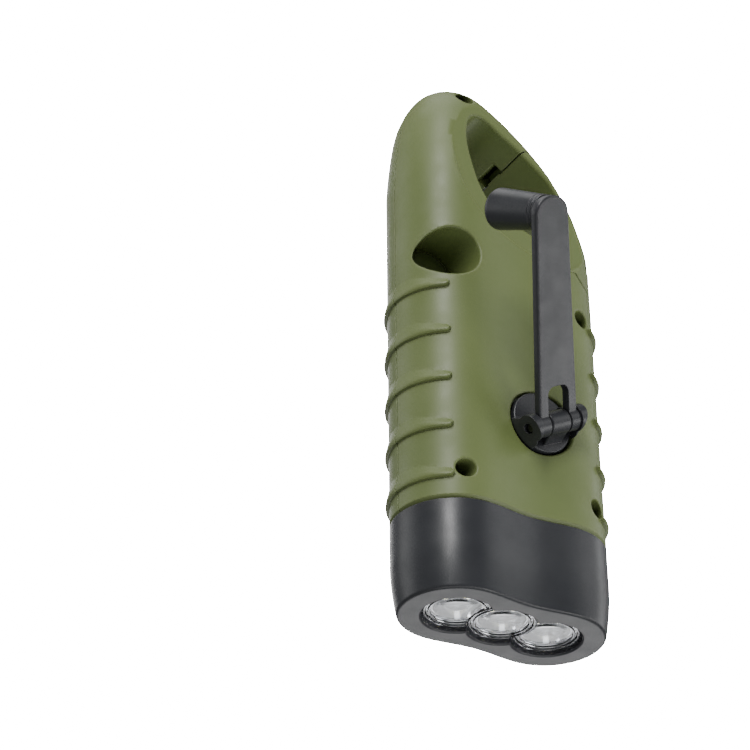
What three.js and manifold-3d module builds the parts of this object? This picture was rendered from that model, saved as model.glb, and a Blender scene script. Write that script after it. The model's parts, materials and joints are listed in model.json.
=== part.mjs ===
// Hand crank flashlight with a carabiner loop, a solar cell and a folding crank.
// Millimetres, +Z up: it stands on its lamp end, the solar face looks along -Y,
// the crank face along +Y, and the carabiner gate is on the -X side.

import * as THREE from 'three';
import * as BufferGeometryUtils from 'three/addons/utils/BufferGeometryUtils.js';
import Module from 'manifold-3d';

const wasm = await Module();
wasm.setup();

// Driving dimensions of the whole
const bodyHalfWidth = 25;
const lobeRadius = 13.6;
const waistHalfDepth = 12.55;
const overallLength = 137.5;
const headLength = 20.6;
const loopBase = 98;
const wall = 2;

// Clearances
const seatGap = 0.3;
const runGap = 0.3;
const partingGap = 0.2;
const overrun = 6;

// The flat pad round the loop's hole
const padHalfDepth = 11.8;
const padReach = 5;
const edgeDepth = 13.9;
const edgeTopDepth = 12.4;
const edgeLevels = 5;

// Outline of the loop at mid depth, and its crest where the rounded edge reaches full depth:
// shares of the half width, and of the rise above the loop's base
const loopOutlineShares = [
  [1, 0], [1, 0.18], [0.985, 0.36], [0.948, 0.567], [0.887, 0.742], [0.76, 0.905],
  [0.586, 0.99], [0.39, 1], [0.19, 0.93], [-0.067, 0.824], [-0.289, 0.724], [-0.515, 0.592],
  [-0.617, 0.514], [-0.728, 0.39], [-0.826, 0.26], [-0.903, 0.125], [-0.96, 0], [-0.99, -0.12],
  [-1, -0.24],
];
const loopCrestShares = [
  [0.49, 0], [0.485, 0.13], [0.48, 0.26], [0.46, 0.4], [0.44, 0.51], [0.41, 0.59],
  [0.36, 0.63], [0.31, 0.65], [0.22, 0.61], [0.09, 0.53], [-0.03, 0.45], [-0.18, 0.36],
  [-0.26, 0.31], [-0.34, 0.23], [-0.4, 0.15], [-0.44, 0.06], [-0.47, -0.04], [-0.48, -0.13],
  [-0.49, -0.24],
];
const holeOutlineShares = [
  [-0.46, -0.1], [-0.168, -0.063], [0.08, 0], [0.24, 0.077], [0.36, 0.193], [0.436, 0.337],
  [0.48, 0.467], [0.484, 0.578], [0.448, 0.675], [0.352, 0.713], [0.22, 0.689], [0.128, 0.646],
  [-0.088, 0.566], [-0.228, 0.496], [-0.368, 0.417], [-0.472, 0.337], [-0.544, 0.251],
  [-0.585, 0.137], [-0.575, 0.01], [-0.54, -0.07],
];

// Grip ribs on both side lobes
const ribCount = 5;
const ribTopZ = 74.2;
const ribPitch = 12.1;
const ribHeight = 5;
const ribLip = 0.4;
const ribProud = 0.7;
const ribRoot = 0.4;
const ribEndInset = 6.3;
const ribFromX = bodyHalfWidth - ribEndInset;

// Carabiner gate
const gatePinInset = 4.1;
const gatePinX = gatePinInset - bodyHalfWidth;
const gatePinZ = 94.2;
const gateHubRadius = 8;
const gateTipShare = 1.24;
const gateTipRadius = bodyHalfWidth * gateTipShare;
const gateGap = 0.4;
const gateFreeAngle = 32;
const gateRegionAngle = 46;
const gateSlotHalf = 6.4;
const gateSlotRadius = 5;
const lugHalf = 4.2;
const lugRadius = 4.4;
const lugNeckRight = 3.4;
const lugNeckDrop = 10;
const gatePinRadius = 1.4;
const gatePinRecess = 0.6;
const tongueHalf = 3.2;
const tongueLength = 2.4;
const tongueFromAngle = 58;
const tongueToAngle = 64.5;
const pocketExtraAngle = 1.5;
const pocketOpenAngle = 40;
const springRadius = 4.6;
const springWire = 1.4;

// Head with its lamps
const headEndInset = 2.06;
const headEndRound = 10;
const headFloor = 3;
const collarHeight = 3.2;
const collarWall = 1.6;
const lensPitchShare = 0.4428;
const lensRingShare = 0.66;
const lensPitch = bodyHalfWidth * lensPitchShare;
const lensRingRadius = lensPitch * lensRingShare;
const lensRecess = 1.5;
const lensBack = 2.8;
const lensRise = 0.7;
const lensCurveShares = [[0, 0.5], [1, 0.5], [0.9, -0.4], [0.6, -0.8], [0, -1]];
const reflectorGap = 0.47;
const lensOverlap = 0.05;
const reflectorRadius = (lensPitch - reflectorGap) / 2;
const lensRadius = reflectorRadius + lensOverlap;
const reflectorLength = 9.6;
const reflectorWall = 0.5;
const bowlShares = [[1, 0], [0.93, 0.35], [0.8, 0.7]];
const ledRadius = 2.5;
const ledLength = 6.4;
const ledTipShares = [[1, 1], [0.87, 0.5], [0.5, 0.13], [0, 0]];
const ledSunk = 3.4;
const ledBoardInset = 4;
const ledBoardThick = 1.2;
const ledPostRadius = 1.7;
const ledPostGap = 0.4;
const ledPostX = lensPitch + reflectorRadius + ledPostRadius + ledPostGap;
const ledScrewHead = 1.5;
const ledScrewHeadHeight = 1;
const ledScrewShank = 0.7;
const ledScrewLength = 5;
const leadX = 3;
const leadRadius = 0.6;

// Solar frame and cell
const frameLeft = -15.8;
const frameRight = 13;
const frameBottom = 26;
const frameShoulder = 73.6;
const frameTop = 78.6;
const frameFrontY = -13.2;
const frameBackY = -10.1;
const frameFootRound = 1.2;
const frameHeadRound = 4;
const windowLeft = -12.3;
const windowRight = 8;
const windowBottom = 31.6;
const windowTop = 70.6;
const windowRound = 2;
const ridgeWidth = 2.4;
const ledgeY = -12.4;
const cellFrontY = -11.8;
const cellThick = 0.8;
const panWall = 1.6;
const panFloor = 1.6;
const leadHoleRadius = 1.2;
const leadHoleZ = 56;

// Crank hub and its drive
const crankX = -3.5;
const crankZ = 44.6;
const crankTurn = 28;
const hubRadius = 7.9;
const hubWellGap = 0.6;
const hubBottomY = 10.9;
const hubFaceY = 13.3;
const hubPadRadius = 10.4;
const hubPadBottomY = 8.4;
const pinBelowHub = 1.8;
const pinY = 16.4;
const lugWidth = 5;
const lugTopRadius = 2.7;
const lugFoot = 3.6;
const cheekFoot = 4.4;
const cheekRadius = 3;
const cheekStart = 5.9;
const hingePinRadius = 1;

// Crank arm and knob
const armLift = 35;
const armReach = 45.3;
const armThick = 3.2;
const armRootHalf = 5.6;
const armTipHalf = 4;
const knuckleRadius = 2.6;
const armWindowHalf = 2.9;
const armWindowReach = 8.3;
const armPanelInset = 1;
const armPanelDepth = 0.4;
const knobLength = 13.4;
const knobRootRadius = 3.8;
const knobEndRadius = 4.6;
const knobEndRound = 1.4;
const knobSink = 2.4;
const knobScrewRadius = 1.3;
const knobScrewHead = 2.1;
const knobScrewHeadHeight = 1.2;
const knobScrewBite = 2;
const knobWellGap = 0.8;
const knobWellWall = 1.4;
const knobWellFloor = 1.4;

// Shaft, gears and plate
const shaftRadius = 2.2;
const shaftEndY = -1.4;
const bushRadius = 4;
const bushLength = 2.3;
const toothShare = 0.032;
const toothSize = bodyHalfWidth * toothShare;
const crankTeeth = 36;
const idlerTeeth = 30;
const pinionTeeth = 9;
const toothRiseShare = 0.75;
const toothRootShare = 1.15;
const toothWidthShares = [-0.27, -0.1, 0.1, 0.27];
const crankGearBottomY = 5.4;
const crankGearThick = 2.4;
const idlerGearBottomY = 2;
const idlerGearThick = 2.2;
const pinionExtra = 0.5;
const rotorPinionThick = 3;
const idlerAngle = 60;
const rotorAngle = 115;
const idlerAxleRadius = 1;
const idlerBore = 1.3;
const rotorAxleRadius = 0.9;
const axleBossRadius = 3;
const idlerBossBottomY = 8.9;
const rotorBossBottomY = 5.3;
const axleSink = 1.3;
const plateHalf = 0.9;
const plateMargin = 3.6;
const standoffRadius = 2.6;
const standoffInset = 10.5;
const standoffGateInset = 10;
const standoffTopInset = 8.5;
const standoffPlaces = [
  [bodyHalfWidth - standoffInset, 38], [standoffGateInset - bodyHalfWidth, 64.5],
  [bodyHalfWidth - standoffTopInset, 71],
];
const plateScrewHead = 2.1;
const plateScrewHeadHeight = 1.3;
const plateScrewShank = 0.9;
const plateScrewLength = 7;

// Generator
const canShare = 0.44;
const canRadius = bodyHalfWidth * canShare;
const canWall = 0.8;
const canDepth = 6.7;
const coilGap = 0.3;
const coilThick = 2.2;
const coilRadius = canRadius - canWall - coilGap;
const coilInner = coilRadius - coilThick;
const coilHeight = 5;
const magnetGap = 0.7;
const magnetRadius = coilInner - magnetGap;
const magnetHeight = 5;

// Circuit board, battery and switch
const boardEdgeInset = 5.2;
const boardLeft = boardEdgeInset - bodyHalfWidth;
const boardRight = 14;
const boardBottom = 31.4;
const boardTop = 58;
const boardBackY = -6;
const boardThick = 1.2;
const boardPostRadius = 1.5;
const batteryX = 3;
const batteryZ = 46;
const batteryRadius = 10;
const batteryThick = 3.2;
const chipX = -10;
const chipZ = 52;
const chipHalf = 2.5;
const chipThick = 1.5;
const capacitorX = -13.5;
const capacitorZ = 43;
const capacitorRadius = 2.5;
const capacitorHeight = 5;
const switchInset = 4.6;
const switchDepth = 3.8;
const switchFrontX = switchInset - bodyHalfWidth;
const switchBackX = switchFrontX + switchDepth;
const switchPlunger = 0.4;
const switchHalf = 2.5;
const switchTopY = 2.6;
const buttonZ = 33.8;
const buttonHalfZ = 2.4;
const buttonHalfY = 2.3;
const buttonProud = 0.9;
const buttonFlange = 1.1;
const buttonFlangeThick = 0.7;
const buttonRound = 1;

// Case screws
const spineScrewInset = 9.1;
const gateScrewInset = 7.3;
const topScrewInset = 8.8;
const loopScrewShare = 0.456;
const loopScrewDrop = 6.2;
const caseScrewPlaces = [
  [bodyHalfWidth - spineScrewInset, 27.8], [gateScrewInset - bodyHalfWidth, 27.9],
  [topScrewInset - bodyHalfWidth, 76.4],
];
const loopScrewPlace = [bodyHalfWidth * loopScrewShare, overallLength - loopScrewDrop];
const screwHoleRadius = 2.1;
const screwHeadRadius = 1.8;
const screwHeadHeight = 1.6;
const screwShankRadius = 0.9;
const screwSeatY = 6;
const screwTipY = -6;
const screwBossRadius = 3;
const threadGap = 0.15;

// Segment counts
const roundSteps = 20;
const wellSteps = 32;
const smallSteps = 10;
const lobeSteps = 12;
const waistSteps = 6;
const headEndSteps = 4;

const degrees = Math.PI / 180;

const plastic = (color, roughness) => new THREE.MeshStandardMaterial({ color, roughness, metalness: 0 });
const metal = (color, roughness) => new THREE.MeshStandardMaterial({ color, roughness, metalness: 1 });

const olive = plastic(0x6f7850, 0.55);
const slate = plastic(0x3c3d42, 0.5);
const black = plastic(0x1b1b1d, 0.5);
const steel = metal(0xc4c6c8, 0.3);
const brass = metal(0xb99a55, 0.35);
const chrome = metal(0xe6e8ea, 0.08);
const clear = new THREE.MeshStandardMaterial({
  color: 0xeef3f6, roughness: 0.05, metalness: 0, transparent: true, opacity: 0.4,
});
const copperCell = plastic(0xa06a48, 0.3);
const boardGreen = plastic(0x2d5b38, 0.5);
const whitePlastic = plastic(0xe4e2dc, 0.5);
const copperWire = metal(0xb4673a, 0.4);
const ledResin = plastic(0xf3f0c8, 0.15);

// Solids and placing

function solidOf(geometry) {
  const bare = geometry.clone();
  bare.deleteAttribute('normal');
  bare.deleteAttribute('uv');
  const merged = BufferGeometryUtils.mergeVertices(bare);
  return new wasm.Manifold(new wasm.Mesh({
    numProp: 3,
    vertProperties: new Float32Array(merged.attributes.position.array),
    triVerts: new Uint32Array(merged.index.array),
  }));
}

function joined(...solids) {
  return solids.reduce((sum, solid) => sum.add(solid));
}

function meshOf(name, solid, material) {
  const data = solid.getMesh();
  const geometry = new THREE.BufferGeometry();
  geometry.setAttribute('position', new THREE.BufferAttribute(data.vertProperties, data.numProp));
  geometry.setIndex(new THREE.BufferAttribute(data.triVerts, 1));
  const mesh = new THREE.Mesh(geometry, material);
  mesh.name = name;
  return mesh;
}

function box(x0, x1, y0, y1, z0, z1) {
  const geometry = new THREE.BoxGeometry(x1 - x0, y1 - y0, z1 - z0);
  geometry.translate((x0 + x1) / 2, (y0 + y1) / 2, (z0 + z1) / 2);
  return solidOf(geometry);
}

function rodY(radius, y0, y1, x, z, steps = roundSteps) {
  const geometry = new THREE.CylinderGeometry(radius, radius, y1 - y0, steps);
  geometry.translate(x, (y0 + y1) / 2, z);
  return solidOf(geometry);
}

function rodZ(radius, z0, z1, x, y, steps = roundSteps) {
  const geometry = new THREE.CylinderGeometry(radius, radius, z1 - z0, steps);
  geometry.rotateX(Math.PI / 2);
  geometry.translate(x, y, (z0 + z1) / 2);
  return solidOf(geometry);
}

function rodX(radius, x0, x1, y, z, steps = roundSteps) {
  const geometry = new THREE.CylinderGeometry(radius, radius, x1 - x0, steps);
  geometry.rotateZ(Math.PI / 2);
  geometry.translate((x0 + x1) / 2, y, z);
  return solidOf(geometry);
}

function extruded(shape, depth, curveSegments) {
  return new THREE.ExtrudeGeometry(shape, { depth, curveSegments, bevelEnabled: false });
}

// A shape drawn in x and z, extruded from y0 to y1
function alongY(shape, y0, y1, curveSegments = roundSteps) {
  const geometry = extruded(shape, y1 - y0, curveSegments);
  geometry.rotateX(Math.PI / 2);
  geometry.translate(0, y1, 0);
  return solidOf(geometry);
}

// A shape drawn in x and y, extruded from z0 to z1
function alongZ(shape, z0, z1, curveSegments = roundSteps) {
  const geometry = extruded(shape, z1 - z0, curveSegments);
  geometry.translate(0, 0, z0);
  return solidOf(geometry);
}

// A shape drawn in y and z, extruded from x0 to x1
function alongX(shape, x0, x1, curveSegments = roundSteps) {
  const geometry = extruded(shape, x1 - x0, curveSegments);
  const axes = new THREE.Matrix4().makeBasis(
    new THREE.Vector3(0, 1, 0), new THREE.Vector3(0, 0, 1), new THREE.Vector3(1, 0, 0));
  geometry.applyMatrix4(axes);
  geometry.translate(x0, 0, 0);
  return solidOf(geometry);
}

// A closed profile of radius and height points turned about an axis along Y
function turnedY(profile, x, z, steps = roundSteps) {
  const points = profile.map(([radius, height]) => new THREE.Vector2(radius, height));
  const geometry = new THREE.LatheGeometry(points, steps);
  geometry.translate(x, 0, z);
  return solidOf(geometry);
}

// A closed profile of radius and z points turned about an axis along Z, drawn from its top down
function turnedZ(profile, x, y, steps = roundSteps) {
  const points = profile.map(([radius, z]) => new THREE.Vector2(radius, -z));
  const geometry = new THREE.LatheGeometry(points, steps);
  geometry.rotateX(-Math.PI / 2);
  geometry.translate(x, y, 0);
  return solidOf(geometry);
}

function polygon(points) {
  return new THREE.Shape(points.map(([a, b]) => new THREE.Vector2(a, b)));
}

function roundedRect(left, right, bottom, top, radius) {
  const shape = new THREE.Shape();
  shape.moveTo(left + radius, bottom);
  shape.lineTo(right - radius, bottom);
  shape.absarc(right - radius, bottom + radius, radius, -Math.PI / 2, 0);
  shape.lineTo(right, top - radius);
  shape.absarc(right - radius, top - radius, radius, 0, Math.PI / 2);
  shape.lineTo(left + radius, top);
  shape.absarc(left + radius, top - radius, radius, Math.PI / 2, Math.PI);
  shape.lineTo(left, bottom + radius);
  shape.absarc(left + radius, bottom + radius, radius, Math.PI, Math.PI * 1.5);
  return shape;
}

// Body: a two-lobed section, cut by the outline of the loop

const lobeX = bodyHalfWidth - lobeRadius;

function sectionShape(inset) {
  const radius = lobeRadius - inset;
  const waist = waistHalfDepth - inset;
  const points = [];
  const waistY = (x) => waist + (radius - waist) * (0.5 - 0.5 * Math.cos((Math.PI * x) / lobeX));
  for (const side of [1, -1]) {
    for (let i = 0; i <= lobeSteps; i += 1) {
      const angle = Math.PI * (0.5 - i / lobeSteps);
      points.push([side * (lobeX + radius * Math.cos(angle)), side * radius * Math.sin(angle)]);
    }
    for (let i = 1; i < waistSteps; i += 1) {
      const x = side * lobeX * (1 - (2 * i) / waistSteps);
      points.push([x, -side * waistY(x)]);
    }
  }
  return polygon(points);
}

const loopRise = overallLength - loopBase;
const loopPoint = ([x, z]) => new THREE.Vector2(x * bodyHalfWidth, loopBase + z * loopRise);

function holePath(steps) {
  const points = holeOutlineShares.map(loopPoint);
  const curve = new THREE.CatmullRomCurve3(points.map((p) => new THREE.Vector3(p.x, p.y, 0)), true);
  return new THREE.Path(curve.getSpacedPoints(steps).slice(0, steps).map((p) => new THREE.Vector2(p.x, p.y)));
}

// A closed outline from a table of shares, run down below the body on both sides
function loopRing(shares) {
  const points = shares.map(loopPoint);
  const first = points[0];
  const last = points[points.length - 1];
  const ring = new THREE.SplineCurve(points).getPoints(2 * (points.length - 1));
  return [new THREE.Vector2(first.x, -overrun), ...ring, new THREE.Vector2(last.x, -overrun)];
}

// Rings of points stacked along Y, closed at both ends
function stackedRings(rings) {
  const count = rings[0].length;
  const positions = [];
  const faces = [];
  rings.forEach((ring) => ring.forEach((p) => positions.push(p.x, p.y, p.z)));
  for (let level = 0; level + 1 < rings.length; level += 1) {
    for (let i = 0; i < count; i += 1) {
      const a = level * count + i;
      const b = level * count + ((i + 1) % count);
      faces.push(a, a + count, b, b, a + count, b + count);
    }
  }
  const top = (rings.length - 1) * count;
  const flat = (ring) => ring.map((p) => new THREE.Vector2(p.x, p.z));
  for (const [a, b, c] of THREE.ShapeUtils.triangulateShape(flat(rings[0]), [])) {
    faces.push(a, b, c);
  }
  for (const [a, b, c] of THREE.ShapeUtils.triangulateShape(flat(rings[rings.length - 1]), [])) {
    faces.push(top + a, top + c, top + b);
  }
  const geometry = new THREE.BufferGeometry();
  geometry.setAttribute('position', new THREE.Float32BufferAttribute(positions, 3));
  geometry.setIndex(faces);
  return solidOf(geometry);
}

// The loop with a rounded outer edge, drawn in all round by an inset
function loopBlank(inset) {
  const outline = loopRing(loopOutlineShares);
  const crest = loopRing(loopCrestShares);
  const rings = [];
  for (let level = -edgeLevels; level <= edgeLevels; level += 1) {
    const turn = (Math.PI / 2) * (level / edgeLevels);
    rings.push(outline.map((p, i) => {
      const inward = crest[i].clone().sub(p);
      const reach = inward.length();
      const moved = inset + (reach - inset) * (1 - Math.cos(turn));
      const spot = p.clone().addScaledVector(inward, moved / reach);
      const climb = THREE.MathUtils.clamp((p.y - loopBase) / loopRise, 0, 1);
      const depth = THREE.MathUtils.lerp(edgeDepth, edgeTopDepth, climb) - inset;
      return new THREE.Vector3(spot.x, depth * Math.sin(turn), spot.y);
    }));
  }
  const holeShape = new THREE.Shape(holePath(holeOutlineShares.length * 2).getPoints());
  const hole = new THREE.ExtrudeGeometry(holeShape, {
    depth: 2 * (edgeDepth + overrun),
    bevelEnabled: true,
    bevelThickness: overrun,
    bevelSize: 0,
    bevelOffset: inset,
    bevelSegments: 1,
  });
  hole.rotateX(Math.PI / 2);
  hole.translate(0, edgeDepth + overrun, 0);
  return stackedRings(rings).subtract(solidOf(hole));
}

function bodyBlank(inset, bottom) {
  return alongZ(sectionShape(inset), bottom, overallLength + overrun).intersect(loopBlank(inset));
}

// One wedge-shaped rib: a tapered ring round a lobe, kept where it leaves the flat faces
function rib(side, z) {
  const inner = lobeRadius - ribRoot;
  const ring = turnedZ([
    [inner, z + ribHeight],
    [lobeRadius + ribProud, z],
    [inner, z - ribLip],
    [inner, z + ribHeight],
  ], 0, 0, lobeSteps * 2);
  const limit = bodyHalfWidth + overrun;
  const kept = box(ribFromX, limit, -edgeDepth, edgeDepth, z - ribHeight, z + 2 * ribHeight);
  const placed = ring.translate([lobeX, 0, 0]).intersect(kept);
  return side > 0 ? placed : placed.rotate([0, 0, 180]);
}

// Carabiner gate region, drawn in x and z about the gate pin

const gatePoint = (radius, angle) => [
  gatePinX + radius * Math.cos(angle * degrees),
  gatePinZ + radius * Math.sin(angle * degrees),
];

function gateRegion(grow) {
  const reach = gateTipRadius + grow;
  const shape = new THREE.Shape();
  shape.moveTo(gatePinX, gatePinZ);
  shape.lineTo(...gatePoint(gateHubRadius + grow, gateFreeAngle));
  shape.lineTo(...gatePoint(reach, gateRegionAngle));
  shape.absarc(gatePinX, gatePinZ, reach, gateRegionAngle * degrees, Math.PI);
  const depth = edgeDepth + overrun;
  return joined(
    alongY(shape, -depth, depth, wellSteps),
    rodY(gateHubRadius + grow, -depth, depth, gatePinX, gatePinZ, wellSteps));
}

function gateTongue(grow) {
  const inner = gateTipRadius - gateHubRadius / 2;
  const outer = gateTipRadius + tongueLength + grow;
  const from = grow > 0 ? pocketOpenAngle : tongueFromAngle;
  const to = tongueToAngle + (grow > 0 ? pocketExtraAngle : 0);
  const shape = new THREE.Shape();
  shape.moveTo(...gatePoint(inner, from));
  shape.lineTo(...gatePoint(outer, from));
  shape.absarc(gatePinX, gatePinZ, outer, from * degrees, to * degrees);
  shape.lineTo(...gatePoint(inner, to));
  return alongY(shape, -tongueHalf - grow, tongueHalf + grow, smallSteps);
}

// Split bosses, wells and windows shared by the two shells

const screwPlaces = [...caseScrewPlaces, loopScrewPlace];

const turnedSpot = (x, z, distance, angle) => [
  x + distance * Math.cos(angle * degrees),
  z + distance * Math.sin(angle * degrees),
];

const idlerDistance = ((crankTeeth + pinionTeeth) / 2) * toothSize;
const rotorDistance = ((idlerTeeth + pinionTeeth) / 2) * toothSize;
const [idlerX, idlerZ] = turnedSpot(crankX, crankZ, idlerDistance, idlerAngle);
const [rotorX, rotorZ] = turnedSpot(idlerX, idlerZ, rotorDistance, rotorAngle);

// The knob swings into its well, so the well reaches further out than in
const knobDrop = armThick / 2 + runGap + knobLength;
const knobSwing = Math.hypot(armReach + knobEndRadius, knobDrop - knobEndRound);
const knobWellOut = knobSwing - armReach + knobWellGap;
const knobWellIn = knobEndRadius + knobWellGap;
const knobWellRadius = (knobWellOut + knobWellIn) / 2;
const knobWellReach = armReach - pinBelowHub + (knobWellOut - knobWellIn) / 2;
const knobWellX = crankX + knobWellReach * Math.sin(crankTurn * degrees);
const knobWellZ = crankZ + knobWellReach * Math.cos(crankTurn * degrees);
const knobWellY = pinY - knobDrop - runGap;

function frameShape(grow) {
  const left = frameLeft - grow;
  const right = frameRight + grow;
  const bottom = frameBottom - grow;
  const shoulder = frameShoulder + grow;
  const top = frameTop + grow;
  const middle = (left + right) / 2;
  const shape = new THREE.Shape();
  shape.moveTo(left + frameFootRound, bottom);
  shape.lineTo(right - frameFootRound, bottom);
  shape.absarc(right - frameFootRound, bottom + frameFootRound, frameFootRound, -Math.PI / 2, 0);
  shape.lineTo(right, shoulder - frameHeadRound);
  shape.quadraticCurveTo(right, shoulder, right - frameHeadRound, shoulder + (top - shoulder) / 2);
  shape.quadraticCurveTo(middle, top + (top - shoulder) / 2, left + frameHeadRound, shoulder);
  shape.quadraticCurveTo(left, shoulder - frameHeadRound / 2, left, shoulder - frameHeadRound);
  shape.lineTo(left, bottom + frameFootRound);
  shape.absarc(left + frameFootRound, bottom + frameFootRound, frameFootRound, Math.PI, Math.PI * 1.5);
  return shape;
}

function bodyCavity() {
  const depth = edgeDepth + overrun;
  const clearOfGate = gateRegion(gateGap + wall);
  const panInner = frameBackY + seatGap + panFloor;
  const pan = alongY(frameShape(seatGap + panWall), -depth, panInner, smallSteps);
  return bodyBlank(wall, 0).subtract(clearOfGate).subtract(pan);
}

function wholeBody() {
  let body = bodyBlank(0, headLength);
  for (const side of [1, -1]) {
    for (let i = 0; i < ribCount; i += 1) {
      body = body.add(rib(side, ribTopZ - i * ribPitch));
    }
  }
  return body;
}

function padCuts() {
  const grown = new THREE.ExtrudeGeometry(new THREE.Shape(holePath(holeOutlineShares.length).getPoints()), {
    depth: overrun,
    bevelEnabled: true,
    bevelThickness: overrun,
    bevelSize: 0,
    bevelOffset: padReach,
    bevelSegments: 1,
  });
  grown.rotateX(Math.PI / 2);
  grown.translate(0, padHalfDepth + 2 * overrun, 0);
  const back = solidOf(grown);
  return joined(back, back.mirror([0, 1, 0]));
}

// The button's flange bears on the curved inner wall
const buttonSeatX = seatGap - lobeX - Math.sqrt(
  (lobeRadius - wall) ** 2 - (buttonHalfY + buttonFlange) ** 2);

function buttonOpening(grow) {
  const half = buttonHalfY + grow;
  const rise = buttonHalfZ + grow;
  const shape = roundedRect(-half, half, buttonZ - rise, buttonZ + rise, buttonRound);
  return (x0, x1) => alongX(shape, x0, x1, smallSteps / 2);
}

const body = wholeBody();
const cavity = bodyCavity();
const gateCut = joined(gateRegion(gateGap), gateTongue(gateGap));
const pads = padCuts();
const skin = bodyBlank(wall / 2, 0);

function gateLug(y0, y1) {
  const neck = polygon([
    [-bodyHalfWidth + wall, gatePinZ],
    [-bodyHalfWidth + wall, gatePinZ - lugNeckDrop],
    [gatePinX + lugNeckRight, gatePinZ - lugNeckDrop],
    [gatePinX + lugNeckRight, gatePinZ],
  ]);
  return joined(rodY(lugRadius, y0, y1, gatePinX, gatePinZ), alongY(neck, y0, y1))
    .intersect(skin)
    .subtract(rodY(gatePinRadius + runGap, -edgeDepth, edgeDepth, gatePinX, gatePinZ, smallSteps));
}

function frontShell() {
  const limit = bodyHalfWidth + overrun;
  const half = partingGap / 2;
  const keepFront = box(-limit, limit, -limit, -half, 0, overallLength + overrun);
  const panInner = frameBackY + seatGap + panFloor;
  let shell = body.subtract(gateCut).subtract(cavity).subtract(pads).intersect(keepFront);
  shell = shell.add(gateLug(-lugHalf, -half));
  for (const [x, z] of screwPlaces) {
    shell = shell.add(rodY(screwBossRadius, -limit, -half, x, z).intersect(skin));
    shell = shell.subtract(rodY(screwShankRadius + threadGap, screwTipY - seatGap, 0, x, z, smallSteps));
  }
  const postTop = boardBackY - boardThick - seatGap;
  for (const x of [frameLeft, boardRight - wall * 2]) {
    for (const z of [boardBottom + wall * 2, boardTop - wall]) {
      shell = shell.add(rodY(boardPostRadius, panInner - panFloor / 2, postTop, x, z, smallSteps));
    }
  }
  shell = shell.subtract(alongY(frameShape(seatGap), -limit, frameBackY + seatGap, smallSteps));
  shell = shell.subtract(rodY(leadHoleRadius, -limit, 0, windowLeft + wall, leadHoleZ, smallSteps));
  return shell.subtract(buttonOpening(runGap)(-limit, buttonSeatX));
}

function backShell() {
  const limit = bodyHalfWidth + overrun;
  const half = partingGap / 2;
  const keepBack = box(-limit, limit, half, limit, 0, overallLength + overrun);
  let shell = body.subtract(gateCut).subtract(cavity).subtract(pads).intersect(keepBack);
  const plateTop = plateHalf + seatGap;
  let inner = joined(
    rodY(hubPadRadius, hubPadBottomY, limit, crankX, crankZ, wellSteps),
    rodY(axleBossRadius, idlerBossBottomY, limit, idlerX, idlerZ),
    rodY(axleBossRadius, rotorBossBottomY, limit, rotorX, rotorZ),
    rodY(knobWellRadius + knobWellWall, knobWellY - knobWellFloor, limit, knobWellX, knobWellZ));
  for (const [x, z] of screwPlaces) {
    inner = inner.add(rodY(screwBossRadius, half, limit, x, z));
  }
  for (const [x, z] of standoffPlaces) {
    inner = inner.add(rodY(standoffRadius, plateTop, limit, x, z));
  }
  shell = shell.add(inner.intersect(skin).intersect(keepBack)).add(gateLug(half, lugHalf));
  const hubWell = hubRadius + hubWellGap;
  shell = shell.subtract(rodY(hubWell, hubBottomY - seatGap, limit, crankX, crankZ, wellSteps));
  shell = shell.subtract(rodY(bushRadius + seatGap, 0, limit, crankX, crankZ));
  const idlerEnd = idlerBossBottomY + axleSink;
  const rotorEnd = rotorBossBottomY + 2 * axleSink;
  shell = shell.subtract(rodY(idlerAxleRadius + seatGap, 0, idlerEnd, idlerX, idlerZ, smallSteps));
  shell = shell.subtract(rodY(rotorAxleRadius + runGap, 0, rotorEnd, rotorX, rotorZ, smallSteps));
  shell = shell.subtract(rodY(knobWellRadius, knobWellY, limit, knobWellX, knobWellZ, wellSteps));
  for (const [x, z] of screwPlaces) {
    shell = shell.subtract(rodY(screwHoleRadius, screwSeatY, limit, x, z));
    shell = shell.subtract(rodY(screwShankRadius + runGap, -half, limit, x, z, smallSteps));
  }
  for (const [x, z] of standoffPlaces) {
    const reach = plateTop + plateScrewLength;
    shell = shell.subtract(rodY(plateScrewShank + threadGap, 0, reach, x, z, smallSteps));
  }
  return shell.subtract(buttonOpening(runGap)(-limit, buttonSeatX));
}

// Gate with its pin and spring

function gate() {
  const slot = joined(
    rodY(gateSlotRadius, -gateSlotHalf, gateSlotHalf, gatePinX, gatePinZ),
    box(gatePinX - gateHubRadius * 2, gatePinX + gateHubRadius * 2, -gateSlotHalf, gateSlotHalf,
      gatePinZ - gateHubRadius * 2, gatePinZ));
  return bodyBlank(0, 0)
    .subtract(pads)
    .intersect(gateRegion(0))
    .add(skin.intersect(gateTongue(0)))
    .subtract(slot)
    .subtract(rodY(gatePinRadius + seatGap / 2, -edgeDepth, edgeDepth, gatePinX, gatePinZ, smallSteps));
}

function gateFaceY() {
  const across = -gatePinX - lobeX;
  return Math.sqrt(lobeRadius * lobeRadius - across * across);
}

function gatePin() {
  const end = gateFaceY() - gatePinRecess;
  return rodY(gatePinRadius, -end, end, gatePinX, gatePinZ, smallSteps);
}

function gateSpring() {
  const inner = springRadius - springWire;
  const from = lugHalf + seatGap;
  return turnedY([
    [inner, from], [springRadius, from], [springRadius, gateSlotHalf - seatGap],
    [inner, gateSlotHalf - seatGap], [inner, from],
  ], gatePinX, gatePinZ);
}

// Head cap, lens plate, reflectors, lamps and their board

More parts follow.
